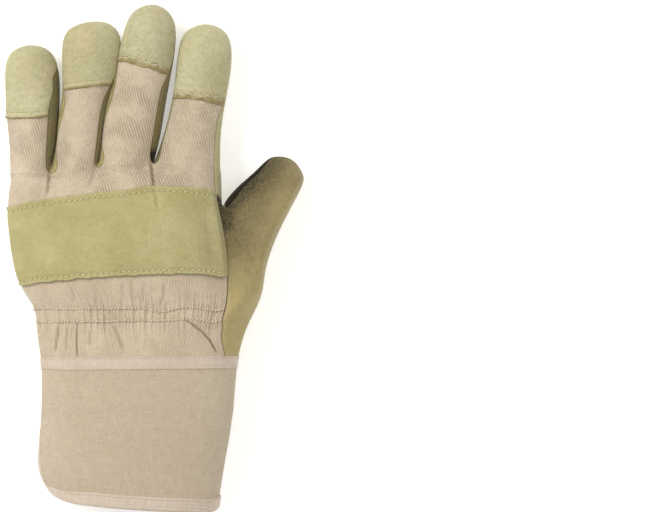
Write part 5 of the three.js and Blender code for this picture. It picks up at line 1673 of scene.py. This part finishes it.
# %% Stitches of the caps
CAP_STITCH = dict(pitch=3.0, length=1.7, radius=0.2, rise=0.26)
FRAYED_HOLE = dict(pitch=2.1, length=0.8, radius=0.32, rise=0.0, sink=0.1, loose=1.5)
for name, finger in FINGERS.items():
    columns, hem, further = np.linspace(1.12, 2.88, 80), finger["hem"], 0.3
    gap = np.linalg.norm(finger_at[name](columns, hem + further)[0] - finger_at[name](columns, hem)[0], axis=-1)
    p, n = finger_at[name](columns, hem + further * HEM_STITCH_INSET / gap)
    seam_row(p + n * 0.42, n, **CAP_STITCH)
    if name in ("middle", "index"):
        wavy = 1.6 + 1.5 * lumps(on_line(columns * 33), 1.0)
        p, n = finger_at[name](columns, hem + further * wavy / gap)
        hole_rows.append(stitch_row(p + n * 0.66, n, **FRAYED_HOLE))
sew("cap_stitches", olive_thread)

# %% Overcast stitches round the fingertips
OVERCAST_STITCH = dict(pitch=2.7, length=2.6, radius=0.22, rise=0.12, sink=0.26, turn=1.2, loose=0.15)
for name, finger in FINGERS.items():
    shared = [np.unique(skin.faces[skin.panel == PANELS.index(p)]) for p in (finger["cap"], finger["front"])]
    seam = np.intersect1d(*shared)
    middle = finger_at[name](2.0, 4.0)[0]
    turned = np.arctan2(skin.points[seam, 0] - middle[0], skin.points[seam, 1] - middle[1])
    seam = seam[np.argsort(turned)]
    thread_rows.append(stitch_row(skin.points[seam] - (0, 0, 0.5), skin.normals[seam], **OVERCAST_STITCH))
sew("fingertip_stitches", olive_thread)

# %% Stitches of the elastic
ELASTIC_STITCH = dict(pitch=2.0, length=1.9, radius=0.46, rise=0.5, sink=0.15, turn=0.4, loose=0.9)
share = np.linspace(0.01, 0.99, 400)
for elastic in ELASTIC_ROWS:
    row = elastic_row(elastic, share)
    p, n = hand_at(1 + 8 * share, -row)
    thread_rows.append(stitch_row(p + n * (gather(share, row) + 0.3)[:, None], n, **ELASTIC_STITCH))
sew("elastic_stitches", cream_thread)

# %% Stitches of tape and binding
FLAT_STITCH = dict(radius=0.2, rise=0.3)
for k in (2, -3):
    p = tape[:, k % len(across_tape)]
    thread_rows.append(stitch_row(np.vstack([p, p[:1]]), np.vstack([tape_normal, tape_normal[:1]]),
                                  pitch=2.6, length=1.9, sink=0.12, **FLAT_STITCH))
base, normal = on_canvas(BINDING_STITCH_INSET * narrow)
on_binding = base + normal * (middle_of_canvas + (TAPE_WALL - middle_of_canvas) * lay)[:, None]
thread_rows.append(stitch_row(on_binding, normal, pitch=2.8, length=2.0, sink=0.1, **FLAT_STITCH))
sew("tape_and_binding_stitches", cream_thread)

# %% Stitches of the pulse patch and all needle holes
PATCH_STITCH = dict(pitch=2.7, length=1.9, radius=0.22, rise=0.35)
turned_patch = patch_points.transpose(1, 0, 2), patch_normals.transpose(1, 0, 2)
for grid in ((patch_points, patch_normals), turned_patch):
    for inset in (PATCH_STITCH_INSET, -PATCH_STITCH_INSET):
        sew_line(grid, inset, 10, **PATCH_STITCH)
sew("patch_stitches", olive_thread)
make_piece("needle_holes", *join(hole_rows), needle_dark, "grain_leather")

# %% [markdown]
# The object stands on a plain pale floor under soft light from the upper left. The camera looks straight
# down, as in the photograph, from far enough away that the fingers are not spread by perspective.

# %% Floor
WHITE = (1, 1, 1, 1)
FLOOR_HALF, FLOOR_LEVEL = 4, -0.0004
floor_mesh = bpy.data.meshes.new("floor")
floor_corners = [(x * FLOOR_HALF, y * FLOOR_HALF, FLOOR_LEVEL) for x, y in ((-1, -1), (1, -1), (1, 1), (-1, 1))]
floor_mesh.from_pydata(floor_corners, [], [(0, 1, 2, 3)])
floor = linked("floor", floor_mesh)
pale_floor = bpy.data.materials.new("pale floor")
pale_floor.use_nodes = True
tree = pale_floor.node_tree
feed(tree, tree.nodes["Principled BSDF"].inputs, {
    "Base Color": (0.95, 0.95, 0.945, 1), "Roughness": 0.95, "Emission Color": WHITE, "Emission Strength": 0.36})
floor_mesh.materials.append(pale_floor)

# %% Lights
def soft_light(name, place, power, size):
    """A round lamp that points at the middle of the glove."""
    data = bpy.data.lights.new(name, "AREA")
    data.shape, data.size, data.energy = "DISK", size, power
    lamp = linked(name, data)
    lamp.location = place
    lamp.rotation_euler = (-lamp.location).to_track_quat("-Z", "Y").to_euler()


soft_light("key", (-1.3, 0.9, 1.5), 26, 1.1)
soft_light("fill", (0.6, 0.2, 2.4), 13, 1.6)
world = bpy.data.worlds.new("studio")
bpy.context.scene.world = world
world.use_nodes = True
feed(world.node_tree, world.node_tree.nodes["Background"].inputs, {"Color": WHITE, "Strength": 0.55})
bpy.context.scene.view_settings.view_transform = "Standard"

# %% Camera straight above, framed as the photograph
CAMERA_HEIGHT = 5.0
FRAME_WIDTH = 0.3504
MIDDLE_HEIGHT = 0.022
SENSOR_WIDTH = 36
camera_data = bpy.data.cameras.new("camera")
camera_data.sensor_width = SENSOR_WIDTH
camera_data.lens = SENSOR_WIDTH * (CAMERA_HEIGHT - MIDDLE_HEIGHT) / FRAME_WIDTH
camera = linked("camera", camera_data)
camera.location = (0.0925, -0.0002, CAMERA_HEIGHT)
bpy.context.scene.camera = camera
print("lens:", round(camera_data.lens), "mm")

# %% Sizes for the record
print("triangles in all:", sum(t for _, t in pieces_made))
